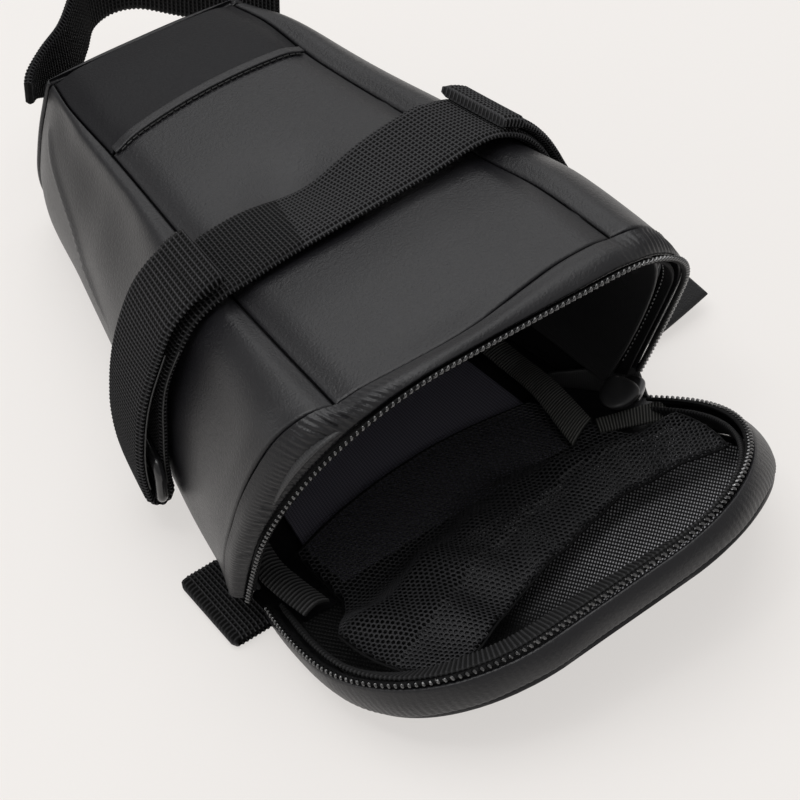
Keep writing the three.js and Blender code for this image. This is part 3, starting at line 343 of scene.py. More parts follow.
def column(rows, key, x):
    """Value of one column at any place, on a smooth curve through the rows."""
    at = next(iter(rows.values()))
    value = rows[key]
    last = len(at) - 1
    x = np.asarray(x, float)
    i = np.clip(np.searchsorted(at, x) - 1, 0, last - 1)
    before = np.maximum(i - 1, 0)
    after = np.minimum(i + 2, last)
    step = at[i + 1] - at[i]
    t = np.clip((x - at[i]) / step, -CURVE_PAST, 1 + CURVE_PAST)
    slope_a = (value[i + 1] - value[before]) / (at[i + 1] - at[before]) * step
    slope_b = (value[after] - value[i]) / (at[after] - at[i]) * step
    ends = (2 * t**3 - 3 * t**2 + 1) * value[i] + (3 * t**2 - 2 * t**3) * value[i + 1]
    return ends + (t**3 - 2 * t**2 + t) * slope_a + (t**3 - t**2) * slope_b


def path_lengths(points):
    return np.concatenate([[0], np.cumsum(np.linalg.norm(np.diff(points, axis=0), axis=1))])


def path_points(at, lengths, points):
    """Points of a path at given lengths along it."""
    return np.stack([np.interp(at, lengths, points[:, k]) for k in range(points.shape[1])], -1)


def cross_normals(points):
    """Directions standing on a grid of points."""
    return unit(np.cross(np.gradient(points, axis=0), np.gradient(points, axis=1)))


# Shell surfaces

def section(y):
    return Named(**{key: column(SECTIONS, key, y) for key in SECTIONS})


def on_section(row, y, across, z):
    return vec(row.drift + across, y - row.lean * z - row.turn * across, z)


def seam_dip(distance):
    return SEAM_DIP * bell(distance / SEAM_DIP_WIDTH)


def side_point(side, y, up, inset=GAP / 2, groove=1):
    """Side panel: up runs from the foot (0) to the top seam (1)."""
    row = section(y)
    belly = getattr(row, SIDE_NAME[side])
    power = 2 / SHOULDER[side]
    foot = row.foot + inset
    seam = row.seam + inset
    low = np.clip(up / BELLY_AT, 0, 1) * math.pi / 2
    high = np.clip((up - BELLY_AT) / (1 - BELLY_AT), 0, 1) * math.pi / 2
    top_across = seam + (belly - seam) * np.maximum(np.cos(high), 0) ** power
    top_z = row.belly + (row.top - row.belly) * np.sin(high) ** power - groove * seam_dip(top_across - seam)
    below = np.asarray(up) < BELLY_AT
    across = np.where(below, foot + (belly - foot) * np.sin(low), top_across)
    z = np.where(below, row.belly * (1 - np.cos(low)), top_z)
    for dent_side, at, height, reach, tall, depth in DENTS:
        if dent_side == side:
            across = across - depth * bell((y - at) / reach) * bell((up - height) / tall)
    return on_section(row, y, side * across, z)


def top_point(y, across, groove=1):
    """Top panel: across runs from the left seam (-1) to the right one (1)."""
    row = section(y)
    half = row.seam - GAP / 2
    dent = TOP_DENT
    fade = bell((half * across - dent.x) / dent.wide) * bell((y - dent.y) / dent.long)
    bow = CROWN * (1 - across**2) - dent.depth * fade
    z = row.top + bow - groove * seam_dip(half * (1 - np.abs(across)))
    return on_section(row, y, half * across, z)


def bottom_point(y, across):
    """Underside: it spreads to the width of the lid behind the rim."""
    row = section(y)
    flare = smooth(BODY_REAR - y, HINGE_FLARE.start, HINGE_FLARE.end)
    wide = np.where(across < 0, HINGE_FLARE.left, HINGE_FLARE.right)
    return on_section(row, y, along(row.foot + BOTTOM_LAP, wide, flare) * across, 0 * y)


def rim_side(side, up):
    return BODY_REAR + column(RIM_BACK_SIDE, SIDE_NAME[side], up)


def rim_top(across):
    return BODY_REAR + column(RIM_BACK_TOP, "back", across)


def hem_line(across):
    return HEM.y + HEM.bow + HEM.skew * across - HEM.round * across**2


def side_left(u, v):
    return side_point(-1, along(BODY_END, rim_side(-1, v), u), v)


def side_right(u, v):
    return side_point(1, along(rim_side(1, v), BODY_END, u), v)


def top_rear(u, v):
    across = 2 * u - 1
    return top_point(along(rim_top(across), hem_line(across) - GAP - HEM.clear, v), across)


def top_front(u, v):
    return top_point(along(hem_line(2 * u - 1), BODY_END, v), 2 * u - 1)


def hem_point(u, v):
    across = (2 * u - 1) * HEM.share
    return top_point(hem_line(across) - HEM.wide * (1 - v) + HEM.ahead, across) + vec(0, 0, HEM.rise + GAP)


def bottom(u, v):
    across = 1 - 2 * u
    x = bottom_point(BODY_REAR + 0 * u, across)[..., 0] - LID_AT.x
    hinge = lid_room(0.0, 0.0) * math.sin(LID_AT.rise) + HINGE_LAP
    rear = LID_AT.y + GAP - hinge + x * math.tan(LID_AT.yaw)
    return bottom_point(along(rear, BODY_END, v), across)


def front_panel(u, v):
    u = 1 - u
    v = along(FRONT.foot, 1, v)
    y = BODY_END + 0 * v
    rim = (1 - np.abs(2 * u - 1) ** FRONT.power) * (1 - np.abs(2 * v - 1) ** FRONT.power)
    flat = along(side_point(-1, y, v), side_point(1, y, v), u[..., None])
    return flat + vec(0, WALL + GAP + FRONT.bulge * rim, 0)


# Zip lines, with the band and the tape of the opening

def zip_half(shape, radius):
    """Right half of a U shaped zip line: wall, corner and top."""
    rise = shape.tall - radius
    flare = (shape.shoulder - shape.foot) / 2
    t = np.arange(ZIP_STEPS) / ZIP_STEPS
    turn = t * math.pi / 2
    wall = np.stack([shape.foot / 2 + flare * np.sin(turn), t * rise], 1)
    corner = np.stack([shape.shoulder / 2 - radius * (1 - np.cos(turn)), rise + radius * np.sin(turn)], 1)
    flat = even(ZIP_TOP_STEPS + 1)[::-1]
    top = np.stack([(shape.shoulder / 2 - radius) * flat, np.full(len(flat), shape.tall)], 1)
    return np.concatenate([wall, corner, top])


def zip_points(shape):
    """Points of a U shaped zip line in its own plane, from the left hinge end to the right one."""
    left = zip_half(shape, shape.left) * (-1, 1)
    points = np.concatenate([left, zip_half(shape, shape.right)[-2::-1]])
    across = 2 * points[:, 0] / shape.shoulder
    up = points[:, 1] / shape.tall
    points[:, 1] += shape.crown * np.maximum(0, up - 0.5) * 2 * (1 - across**2) + shape.slope * across * up
    return points


for zip_shape in (RIM, LID):
    zip_shape.points = zip_points(zip_shape)
    zip_shape.lengths = path_lengths(zip_shape.points)


def zip_line(shape, run):
    flat = path_points(np.asarray(run) * shape.lengths[-1], shape.lengths, shape.points)
    return flat[..., 0], flat[..., 1]


def zip_outward(shape, run):
    """Direction pointing out of the U in its plane."""
    a = zip_line(shape, np.maximum(run - ZIP_NEAR, 0))
    b = zip_line(shape, np.minimum(run + ZIP_NEAR, 1))
    du, dv = b[0] - a[0], b[1] - a[1]
    size = np.hypot(du, dv)
    return -dv / size, du / size


def beside_zip(shape, run, reach):
    """Place in the zip's plane at a distance outward from its line."""
    line, out = zip_line(shape, run), zip_outward(shape, run)
    return line[0] + out[0] * reach, line[1] + out[1] * reach


def on_ends(ends, run):
    return along(ends[0], ends[1], run)


def on_rim(u, v, behind=0.0):
    """Point of the opening's plane: across, up the plane, and behind it toward the narrow end."""
    lean = RIM_AT.lean
    y = RIM_AT.y - v * math.sin(lean) + behind * math.cos(lean)
    return vec(RIM_AT.x + u, y, RIM_AT.z + v * math.cos(lean) + behind * math.sin(lean))


def shell_rim(run):
    """Outline of the shell at the rim, by the same run as the zip line."""
    part = even(41)
    up, across = along(RIM_FOOT, 1, part), 2 * part - 1
    outline = np.concatenate([
        side_point(-1, rim_side(-1, up), up), top_point(rim_top(across), across),
        side_point(1, rim_side(1, up), up)[::-1],
    ])
    lengths = path_lengths(outline)
    return path_points(np.asarray(run) * lengths[-1], lengths, outline)


def band_line(run, v):
    """Straight line across the band: from the shell's edge to the zip line."""
    edge = on_rim(*zip_line(RIM, run), GAP)
    seam = shell_rim(run)
    seam = seam + unit(edge - seam) * SEAM_GAP
    return along(seam, edge, np.asarray(v)[..., None])


def push_out(run, reach):
    out = zip_outward(RIM, run)
    return on_rim(out[0] * reach, out[1] * reach) - on_rim(0.0, 0.0)


def rim_band(u, v):
    run = on_ends(RIM_ENDS, 1 - u)
    flat = BAND_FLAT.share * smooth(run, BAND_FLAT.start, BAND_FLAT.end)
    return band_line(run, v) + push_out(run, BAND_BULGE * (1 - flat) * np.sin(math.pi * v))


def rim_tape(u, v):
    run = on_ends(RIM_ENDS, 1 - u)
    return band_line(run, along(RIM_TAPE_FROM, 1, v)) + push_out(run, 0 * v - RIM_TAPE_INSET)


# Lid surfaces

def lid_rise(u, v):
    return v * math.sin(LID_AT.rise) + LID_AT.twist * 2 * u * v / (LID.shoulder * LID.tall)


def on_lid(u, v, deep=0.0):
    """Point of the lid: across, out from the hinge, and deep below the zip plane."""
    rise, yaw = LID_AT.rise, LID_AT.yaw
    x = u + LID_AT.shear * deep
    y = -v * math.cos(rise) - deep * math.sin(rise)
    z = lid_rise(u, v) - deep * math.cos(rise)
    turned_x = x * math.cos(yaw) - y * math.sin(yaw)
    turned_y = x * math.sin(yaw) + y * math.cos(yaw)
    return vec(turned_x + LID_AT.x, turned_y + LID_AT.y, z + LID_AT.z)


def lid_half(v, side):
    """Half width of the lid at a place out from the hinge."""
    radius = np.where(np.asarray(side) < 0, LID.left, LID.right)
    rise = LID.tall - radius
    flare = (LID.shoulder - LID.foot) / 2
    past = np.clip(v - rise, 0, radius)
    straight = LID.foot / 2 + flare * np.sin(np.clip(v / rise, 0, 1) * math.pi / 2)
    return np.where(v < rise, straight, LID.shoulder / 2 - radius + np.sqrt(radius**2 - past**2))


def lid_room(u, v):
    """Depth from the zip plane down to the surface that the lid lies on."""
    return (LID_AT.z - LID_FLOOR + lid_rise(u, v)) / math.cos(LID_AT.rise)


def wall_depth(u, v):
    far = smooth(v, LID_SLIM.start, LID_SLIM.end)
    slim = LID_SLIM.deep * far * bell(((u - LID_SLIM.x) / LID_SLIM.reach) ** 2)
    return np.minimum(LID_BAND, lid_room(u, v) - WALL - 2 * GAP) - slim


def dome_depth(u, v):
    return np.minimum(wall_depth(u, v) + WALL + 2 * GAP + LID_DOME.deep, lid_room(u, v))


def lid_band(u, v):
    run = on_ends(LID_ENDS, 1 - u)
    roll = LID_ROLL.tall * np.sin(math.pi * along(LID_ROLL.start, LID_ROLL.end, v))
    deep = GAP + (wall_depth(*zip_line(LID, run)) + LID_LAP) * v
    return on_lid(*beside_zip(LID, run, roll), deep)


def lid_panel(u, v, inset=0.0, near=0.0, lift=0.0):
    out = (LID.tall - inset) * v + near * (1 - v)
    left = lid_half(out, -1) - inset
    right = lid_half(out, 1) - inset
    across = -left + (left + right) * u
    rim = (1 - np.abs(2 * u - 1) ** LID_DOME.across) * (1 - v**LID_DOME.out)
    wall = wall_depth(across, out) + WALL + 2 * GAP
    return on_lid(across, out, wall + (dome_depth(across, out) - wall) * rim - lift)


def lid_lining(u, v):
    out = along(LID_LINING.start, LID_LINING.end, v)
    return lid_panel(u, out, LID_LINING.inset, LID_LINING.near, WALL + 2 * GAP)


def lid_tape(u, v):
    run = on_ends(LID_ENDS, 1 - u)
    lean = column(LID_TAPE_LEAN, "share", run)
    upright = np.minimum(LID_TAPE.wide, wall_depth(*zip_line(LID, run)) - LID_TAPE.edge)
    inset = LID_TAPE.inset + LID_TAPE.lean * lean * v
    deep = along(LID_TAPE.edge, along(upright, LID_TAPE.flat, lean), v)
    return on_lid(*beside_zip(LID, run, -inset), deep)


def mesh_reach(across, v):
    """Half width of the mesh pocket, its place out from the hinge and its share of the way past the fold."""
    t = np.clip((v - MESH_BEND) / (1 - MESH_BEND), 0, 1)
    fold = (LID_AT.y - column(MESH_EDGE, "fold", across)) / math.cos(LID_AT.rise)
    place = along(fold, column(MESH_EDGE, "out", across), t)
    spread = np.minimum(1, MESH_SPREAD.start + MESH_SPREAD.gain * t)
    inset = np.where(np.asarray(across) < 0, MESH_INSET.left, MESH_INSET.right)
    return (lid_half(place, across) - inset) * spread, place, t


def mesh_pocket(u, v):
    across = 2 * u - 1
    reach, place, t = mesh_reach(across, v)
    low = (LID_AT.z + lid_rise(across * reach, place) - MESH_LOW) / math.cos(LID_AT.rise)
    belly = MESH_SLACK.belly * np.sin(math.pi * t) * (1 - across**2)
    high = along(-MESH_SLACK.high, column(MESH_EDGE, "deep", across), t**MESH_SLACK.power) - belly
    outer = on_lid(across * reach, place, along(low, high, smooth(t, 0, MESH_CLIMB)))
    sewn = vec(MESH_SEWN.x + MESH_SEWN.half * across, column(MESH_EDGE, "sewn", across), MESH_LOW)
    return along(sewn, outer, np.clip(v / MESH_BEND, 0, 1)[..., None])


# Surfaces inside the body

def lining_wall(u, v):
    row = LINING_WALL
    y = along(BODY_REAR + row.rear, BODY_END - row.short, v)
    share = row.side_share
    left = side_point(-1, y, np.clip(along(row.foot, 1, u / share), 0, 1), 0)
    right = side_point(1, y, np.clip(along(row.foot, 1, (1 - u) / share), 0, 1), 0)
    top = top_point(y, np.clip((u - share) / (1 - 2 * share), 0, 1) * 2 - 1)
    shell_at = np.where((u < share)[..., None], left, np.where((u > 1 - share)[..., None], right, top))
    cut = section(y)
    return shell_at + unit(on_section(cut, y, 0 * y, cut.top * row.aim) - shell_at) * row.off


def lining_floor(u, v):
    y = along(LINING_FLOOR.rear, BODY_END - LINING_FLOOR.short, v)
    row = section(np.maximum(y, BODY_REAR))
    half = row.foot - along(LINING_FLOOR.inset_rear, LINING_FLOOR.inset_front, v)
    return vec(row.drift + half * (2 * u - 1), y, WALL + GAP + LINING)


def binding(row):
    """Surface of a ribbed binding: u along its run, v across it."""
    line = row.line

    def surface(u, v):
        y = along(line["y"][0], line["y"][-1], u)
        bulge = row.curl * np.sin(math.pi * (1 - v)) * (1 - BINDING_FLATTEN * u)
        x = column(line, "x", y) + column(line, "wide", y) * (0.5 - v)
        return vec(x, y + row.slant * (0.5 - v) * (1 - u) ** BINDING_FADE, column(line, "z", y) + bulge)
    return surface


# Strap surfaces

def strap_lift(side, back, up):
    lift = column(STRAP_SIDE, SIDE_NAME[side] + back, up)
    return lift if back else lift + WEBBING


def strap_side_rows(side):
    """Places up one side and lifts, from the free end round the loop's bar to the top seam."""
    outer = np.linspace(STRAP_END[side], STRAP.up, STRAP_ROWS.outer, endpoint=False)
    turn = np.linspace(0, 1, STRAP_ROWS.turn, endpoint=False)
    inner = np.linspace(STRAP.up, 1, STRAP_ROWS.inner)
    middle = strap_lift(side, "", STRAP.up) + STRAP.fold / 2
    start = strap_lift(side, "_back", STRAP.up) - middle
    angle = math.pi * turn
    up = np.concatenate([outer, STRAP.up - STRAP.turn * np.sin(angle), inner])
    bend = middle + along(start, STRAP.fold / 2, turn) * np.cos(angle)
    return up, np.concatenate([strap_lift(side, "_back", outer), bend, strap_lift(side, "", inner)])


def strap_surface(side, place, y):
    """Shell under the strap at a true place along Y, with the seam grooves bridged."""
    def pick(at):
        return side_point(side, at, place, 0, 0) if side else top_point(at, place, 0)
    at = y
    for _ in range(SETTLE_ROUNDS):
        at = at + y - pick(at)[..., 1]
    return pick(at)


def strap_normal(side, place, y):
    step = STRAP_STEP
    top = 1 if side else 2
    run = strap_surface(side, np.minimum(place + step, top), y) - strap_surface(side, place - step, y)
    normal = unit(np.cross(run, strap_surface(side, place, y + step) - strap_surface(side, place, y - step)))
    return -normal if side > 0 else normal


def strap_edges(side, place):
    pinch = PINCH.deep * bell((place - STRAP.up) / PINCH.reach) if side else 0 * place
    return STRAP.near + PINCH.near * pinch, STRAP.far - (1 - PINCH.near) * pinch


def strap_piece(side, place, lift, v):
    near, far = strap_edges(side, place)
    y = along(near, far, v)
    if not side:
        lift = along(column(STRAP_TOP, "near", place), column(STRAP_TOP, "far", place), v) + WEBBING
    return strap_surface(side, place, y) + strap_normal(side, place, y) * lift[..., None]


def strap_grid():
    """Points of the webbing's front face from the left free end to the right one."""
    v = even(STRAP_ROWS.across + 1)
    parts = []
    for side in (-1, 0, 1):
        if side:
            place, lift = strap_side_rows(side)
        else:
            place = np.linspace(-1, 1, STRAP_ROWS.top + 1)[1:-1]
            lift = 0 * place
        if side > 0:
            place, lift = place[::-1], lift[::-1]
        parts.append(strap_piece(side, grid(place, v)[0], *grid(lift, v)))
    return np.concatenate(parts)


def loop_frame(side):
    """Middle of a strap loop's lower bar, and its directions along Y, up and out."""
    place = np.array(STRAP.up)
    near, far = strap_edges(side, place)
    y = (near + far) / 2
    foot = strap_surface(side, place, y)
    upward = unit(strap_surface(side, np.array(STRAP.top), y) - foot)
    edge = strap_surface(side, place, STRAP.far) - strap_surface(side, place, STRAP.near)
    sideways = unit(edge - upward * edge.dot(upward))
    out = -side * np.cross(sideways, upward)
    lift = strap_lift(side, "", place) + STRAP.fold / 2
    return foot + strap_normal(side, place, y) * lift, sideways, upward, out


def post_strap(u, v):
    x, y, low, high, lean = (column(POST_PATH, key, u) for key in ("x", "y", "low", "high", "lean"))
    return vec(x + lean * (1 - v), y, along(low, high, v))


def tab_left(u, v):
    """Webbing folded back on itself: in at the foot, round the fold and back in above."""
    row = TAB_LEFT
    radius = row.fold / 2
    y = along(row.far, row.near, v)
    bend = row.outer + row.thick + radius + row.swing * (y - row.near)
    middle = row.z + row.thick + radius
    angle = np.clip((u - row.flat) / (1 - 2 * row.flat), 0, 1) * math.pi
    below = along(row.inner, bend, np.clip(u / row.flat, 0, 1))
    above = along(bend, row.inner, np.clip((u - 1 + row.flat) / row.flat, 0, 1))
    return vec(np.where(u < 0.5, below, above) - radius * np.sin(angle), y, middle - radius * np.cos(angle))


def tab_right(u, v):
    row = TAB_RIGHT
    x = along(along(row.inner, row.inner_far, v), row.outer, u)
    y = along(row.near, row.far, v) + row.swing * (x - row.inner)
    return vec(x, y, row.z + row.thick + row.rise * u**2)


# Meshes

def mesh_object(name, points, faces, flat=None):
    """Object from points and faces of equal size; flat gives cloth coordinates. All are in millimetres."""
    faces = np.ascontiguousarray(faces, np.int32)
    points = np.array(points)
    points[:, 2] = np.maximum(points[:, 2], FLOOR_CLEAR)
    mesh = bpy.data.meshes.new(name)
    mesh.vertices.add(len(points))
    mesh.vertices.foreach_set("co", ((points + HINGE) * METRE).astype(np.float32).ravel())
    mesh.loops.add(faces.size)
    mesh.loops.foreach_set("vertex_index", faces.ravel())
    mesh.polygons.add(len(faces))
    mesh.polygons.foreach_set("loop_start", np.arange(0, faces.size, faces.shape[1], dtype=np.int32))
    mesh.update(calc_edges=True)
    mesh.polygons.foreach_set("use_smooth", np.ones(len(faces), bool))
    if flat is not None:
        layer = mesh.uv_layers.new(name="cloth")
        layer.data.foreach_set("uv", flat[faces.ravel()].astype(np.float32).ravel())
    mesh.set_sharp_from_angle(angle=SHARP_ANGLE)
    return linked(bpy.data.objects.new(name, mesh))


def linked(obj):
    bpy.context.scene.collection.objects.link(obj)
    return obj


def quads(a, b, c, d):
    return np.stack([a.ravel(), b.ravel(), c.ravel(), d.ravel()], 1)


def ticks(count):
    """Even places from 0 to 1, with a few more close to both ends."""
    close = BORDER_TICKS / count
    return np.unique(np.concatenate([even(count + 1), close, 1 - close]))


def normals(surface, u, v):
    step = SURFACE_STEP
    run_u = surface(np.minimum(u + step, 1), v) - surface(np.maximum(u - step, 0), v)
    run_v = surface(u, np.minimum(v + step, 1)) - surface(u, np.maximum(v - step, 0))
    return unit(np.cross(run_u, run_v))


def lay_out(points):
    """Running lengths along both directions of a grid, as flat cloth coordinates."""
    run = np.linalg.norm(np.diff(points, axis=0), axis=2).mean(axis=1)
    side = np.linalg.norm(np.diff(points, axis=1), axis=2).mean(axis=0)
    return grid(np.concatenate([[0], np.cumsum(run)]), np.concatenate([[0], np.cumsum(side)]))


def from_border(s, t):
    return np.minimum.reduce([s, s[-1:, :] - s, t, t[:, -1:] - t])


def edge_drop(s, t, radius):
    """Rounding of a sheet's border: how far its faces draw in near the edge."""
    inside_edge = np.clip(1 - from_border(s, t) / radius, 0, 1)
    return radius * (1 - np.sqrt(1 - inside_edge**2))


def closed_sheet(name, front, back, s, t):
    """Closed body between two grids of points."""
    f, k = np.arange(2 * s.size).reshape(2, *s.shape)
    faces = np.concatenate([
        quads(f[:-1, :-1], f[1:, :-1], f[1:, 1:], f[:-1, 1:]),
        quads(k[:-1, :-1], k[:-1, 1:], k[1:, 1:], k[1:, :-1]),
        quads(k[:-1, 0], k[1:, 0], f[1:, 0], f[:-1, 0]),
        quads(f[:-1, -1], f[1:, -1], k[1:, -1], k[:-1, -1]),
        quads(f[0, :-1], f[0, 1:], k[0, 1:], k[0, :-1]),
        quads(k[-1, :-1], k[-1, 1:], f[-1, 1:], f[-1, :-1]),
    ])
    points = np.concatenate([front.reshape(-1, 3), back.reshape(-1, 3)])
    flat = np.stack([s.ravel(), t.ravel()], 1)
    return mesh_object(name, points, faces, np.concatenate([flat, flat]))


def cloth(name, surface, counts, thick, relief=None, both=False):
    """Sheet with rounded borders and a relief on its front face, or on both."""
    u, v = grid(ticks(counts[0]), ticks(counts[1]))
    points = surface(u, v)
    normal = normals(surface, u, v)
    s, t = lay_out(points)
    drop = edge_drop(s, t, CLOTH_ROUND * thick)
    lift = relief(s, t, points) if relief else 0 * s
    front = points + normal * (lift - drop)[..., None]
    back = points - normal * (thick - drop + (lift if both else 0))[..., None]
    return closed_sheet(name, front, back, s, t)


def declare(surface):
    """Points of a sheet on an even grid and the steps between them along both ways; nothing is kept or given
    back.
    """
    points = surface(*grid(even(CUT_POINTS), even(CUT_POINTS)))
    run, side = np.diff(points, axis=0), np.diff(points, axis=1)


def waves(points, seed, longest, shortest, count=14):
    """Smooth seeded unevenness about zero, mostly between -1.5 and 1.5, over points in space."""
    rng = np.random.default_rng(seed)
    total = np.zeros(points.shape[:-1])
    for _ in range(count):
        way = unit(rng.normal(size=3)) * 2 * math.pi / rng.uniform(shortest, longest)
        total += np.cos(points @ way + rng.uniform(0, 2 * math.pi))
    return total / math.sqrt(count)


def soft(seed, deep, longest=60, shortest=22):
    """Soft unevenness that dies out toward the seams."""
    def relief(s, t, points):
        return deep * waves(points, seed, longest, shortest) * smooth(from_border(s, t), 0, SEAM_CALM)
    return relief


def ribs(s, pitch, sharp=0.7):
    return np.abs(np.sin(math.pi * s / pitch)) ** sharp


def tape_ribs(pitch, deep=0.3):
    return lambda s, t, points: deep * (ribs(s, pitch, RIB_SHARP) - TAPE_RIB_MIDDLE)


def tube(path, radius, sides):
    """Rings of points of a round bar along a path."""
    run = unit(np.gradient(path, axis=0))
    aside = unit(np.cross(run, run[:, [1, 2, 0]] + BAR_ASIDE))
    other = np.cross(run, aside)
    angle = np.arange(sides) / sides * 2 * math.pi
    around = aside[:, None] * np.cos(angle)[None, :, None] + other[:, None] * np.sin(angle)[None, :, None]
    return path[:, None] + around * np.broadcast_to(radius, len(path))[:, None, None]


def ring_faces(count, size, looped=False):
    """Faces through equal rings of points: quads round a loop, or triangles that close in two tips."""
    ids = np.arange(count * size).reshape(count, size)
    after = np.roll(ids, -1, axis=1)
    if looped:
        return quads(ids, after, np.roll(after, -1, axis=0), np.roll(ids, -1, axis=0))
    walls = quads(ids[:-1], after[:-1], after[1:], ids[1:])
    first = np.stack([after[0], ids[0], np.full(size, count * size)], 1)
    last = np.stack([ids[-1], after[-1], np.full(size, count * size + 1)], 1)
    return np.concatenate([walls[:, [0, 1, 2]], walls[:, [0, 2, 3]], first, last])


def joined_tubes(name, paths, radius, sides=STITCH_SIDES):
    """Many short bars with round ends as one object; all paths have the same number of points."""
    points = []
    for path in paths:
        first = unit(path[0] - path[1]) * radius
        final = unit(path[-1] - path[-2]) * radius
        whole = np.concatenate([[path[0] + first * BAR_TIP], path, [path[-1] + final * BAR_TIP]])
        size = np.full(len(whole), radius)
        size[[0, -1]] = BAR_TIP * radius
        body = tube(whole, size, sides).reshape(-1, 3)
        points.append(np.concatenate([body, [path[0] + first, path[-1] + final]]))
    one = ring_faces(paths.shape[1] + 2, sides)
    starts = np.arange(len(points)) * len(points[0])
    faces = (one[None] + starts[:, None, None]).reshape(-1, 3)
    return mesh_object(name, np.concatenate(points), faces)


def stitches(name, path, kind):
    """Row of thread stitches along a path."""
    pitch, long, radius = STITCH[kind]
    lengths = path_lengths(path)
    begin = np.arange(pitch / 2, lengths[-1] - long, pitch)
    at = begin[:, None] + np.linspace(0, long, STITCH_POINTS)[None, :]
    return joined_tubes(name, path_points(at, lengths, path), radius)


def swept(name, rings, looped=False):
    """Closed body through equal rings of points, capped or joined into a loop, facing outward."""
    points = rings.reshape(-1, 3)
    if not looped:
        points = np.concatenate([points, rings[[0, -1]].mean(axis=1)])
    faces = ring_faces(*rings.shape[:2], looped)
    a, b, c = (points[faces[:, k]] for k in range(3))
    outward = np.sum((a - points.mean(axis=0)) * np.cross(b - a, c - a)) > 0
    return mesh_object(name, points, faces if outward else faces[:, ::-1])


# Materials

class Wire:
    """Number in a shader tree; sums, products and powers of wires add nodes to the tree."""

    def __init__(self, socket):
        self.socket = socket

    def __add__(self, other):
        return maths("ADD", self, other)

    def __mul__(self, other):
        return maths("MULTIPLY", self, other)

    def __truediv__(self, other):
        return maths("DIVIDE", self, other)

    def __pow__(self, other):
        return maths("POWER", self, other)

    def __rsub__(self, other):
        return maths("SUBTRACT", other, self)


def node(tree, kind, inputs=(), out=0, **settings):
    """New node with its settings and inputs, which may be wires; gives one of its outputs as a wire."""
    new = tree.nodes.new(kind)
    for key, value in settings.items():
        setattr(new, key, value)
    for key, value in dict(inputs).items():
        if isinstance(value, Wire):
            tree.links.new(value.socket, new.inputs[key])
        else:
            new.inputs[key].default_value = value
    return Wire(new.outputs[out])


def maths(operation, a, b=0.0):
    tree = (a if isinstance(a, Wire) else b).socket.id_data
    return node(tree, "ShaderNodeMath", {0: a, 1: b}, operation=operation)


def wave(turns):
    """Row of domes, one for each whole turn."""
    return maths("ABSOLUTE", maths("SINE", turns * math.pi))


MATERIALS = {}


def new_material(name, color, roughness, **inputs):
    """Add a material to the list of looks; gives its node tree and shader."""
    material = bpy.data.materials.new(name)
    MATERIALS[name] = material
    material.use_nodes = True
    shader = material.node_tree.nodes["Principled BSDF"]
    shader.inputs["Base Color"].default_value = (*color, 1)
    shader.inputs["Roughness"].default_value = roughness
    for key, value in inputs.items():
        shader.inputs[key.replace("_", " ")].default_value = value
    return material.node_tree, shader


def link(shader, key, wire):
    shader.id_data.links.new(wire.socket, shader.inputs[key])


def noise(tree, scale, detail=2.0):
    where = object_place(tree)
    return node(tree, "ShaderNodeTexNoise", {"Vector": where, "Scale": scale, "Detail": detail})


def object_place(tree):
    return node(tree, "ShaderNodeTexCoord", out=3)


def uneven_gloss(shader, share, low, high):
    spread = {"Value": share, "To Min": low, "To Max": high}
    link(shader, "Roughness", node(shader.id_data, "ShaderNodeMapRange", spread))


def tint(shader, share, color, low, high=1.0):
    """Base color between two shades of one color."""
    dark, light = ((*(shade * c for c in color), 1) for shade in (low, high))
    mix = node(shader.id_data, "ShaderNodeMix", {0: share, 6: dark, 7: light}, out=2, data_type="RGBA")
    link(shader, "Base Color", mix)


def bump(shader, height, deep):
    inputs = {"Height": height, "Distance": deep * METRE, "Strength": 1.0}
    link(shader, "Normal", node(shader.id_data, "ShaderNodeBump", inputs))


def thread_waves(axis_a, axis_b, pitch_a, pitch_b, shift=0.5):
    """Plain weave: domes of the threads, shifted by a share of the pitch from row to row."""
    a = axis_a / pitch_a
    b = axis_b / pitch_b + maths("FLOOR", a) * shift
    return wave(a) * wave(b)


def cloth_axes(tree):
    """Places along and across a cloth, in millimetres."""
    flat = node(tree, "ShaderNodeUVMap", uv_map="cloth")
    split = tree.nodes.new("ShaderNodeSeparateXYZ")
    tree.links.new(flat.socket, split.inputs[0])
    return Wire(split.outputs[0]), Wire(split.outputs[1])


def run_along(tree, way):
    """Place along a direction of the part, in millimetres."""
    dot = node(tree, "ShaderNodeVectorMath", {0: object_place(tree), 1: way}, out=1, operation="DOT_PRODUCT")
    return dot / METRE


def coated(name, color, rough_low, rough_high, gloss):
    """Coated cloth: fine leathery grain, satin speckle and slow unevenness of the finish."""
    tree, shader = new_material(name, color, rough_low, Specular_IOR_Level=gloss)
    grain = noise(tree, GRAIN.scale, 3.0)
    speckle = noise(tree, GRAIN.speckle, 1.0)
    uneven_gloss(shader, grain, rough_low, rough_high)
    tint(shader, noise(tree, GRAIN.slow), color, GRAIN.dark, GRAIN.light)
    bump(shader, grain + speckle * 0.5, GRAIN.deep)


def woven(name, color, roughness, pitch_a, pitch_b, deep, dark=0.35, **inputs):
    """Woven cloth: threads lighter on their backs than in the gaps."""
    tree, shader = new_material(name, color, roughness, **inputs)
    threads = thread_waves(*cloth_axes(tree), pitch_a, pitch_b)
    tint(shader, threads, color, dark)
    bump(shader, threads + noise(tree, FUZZ_SCALE) * 0.4, deep)


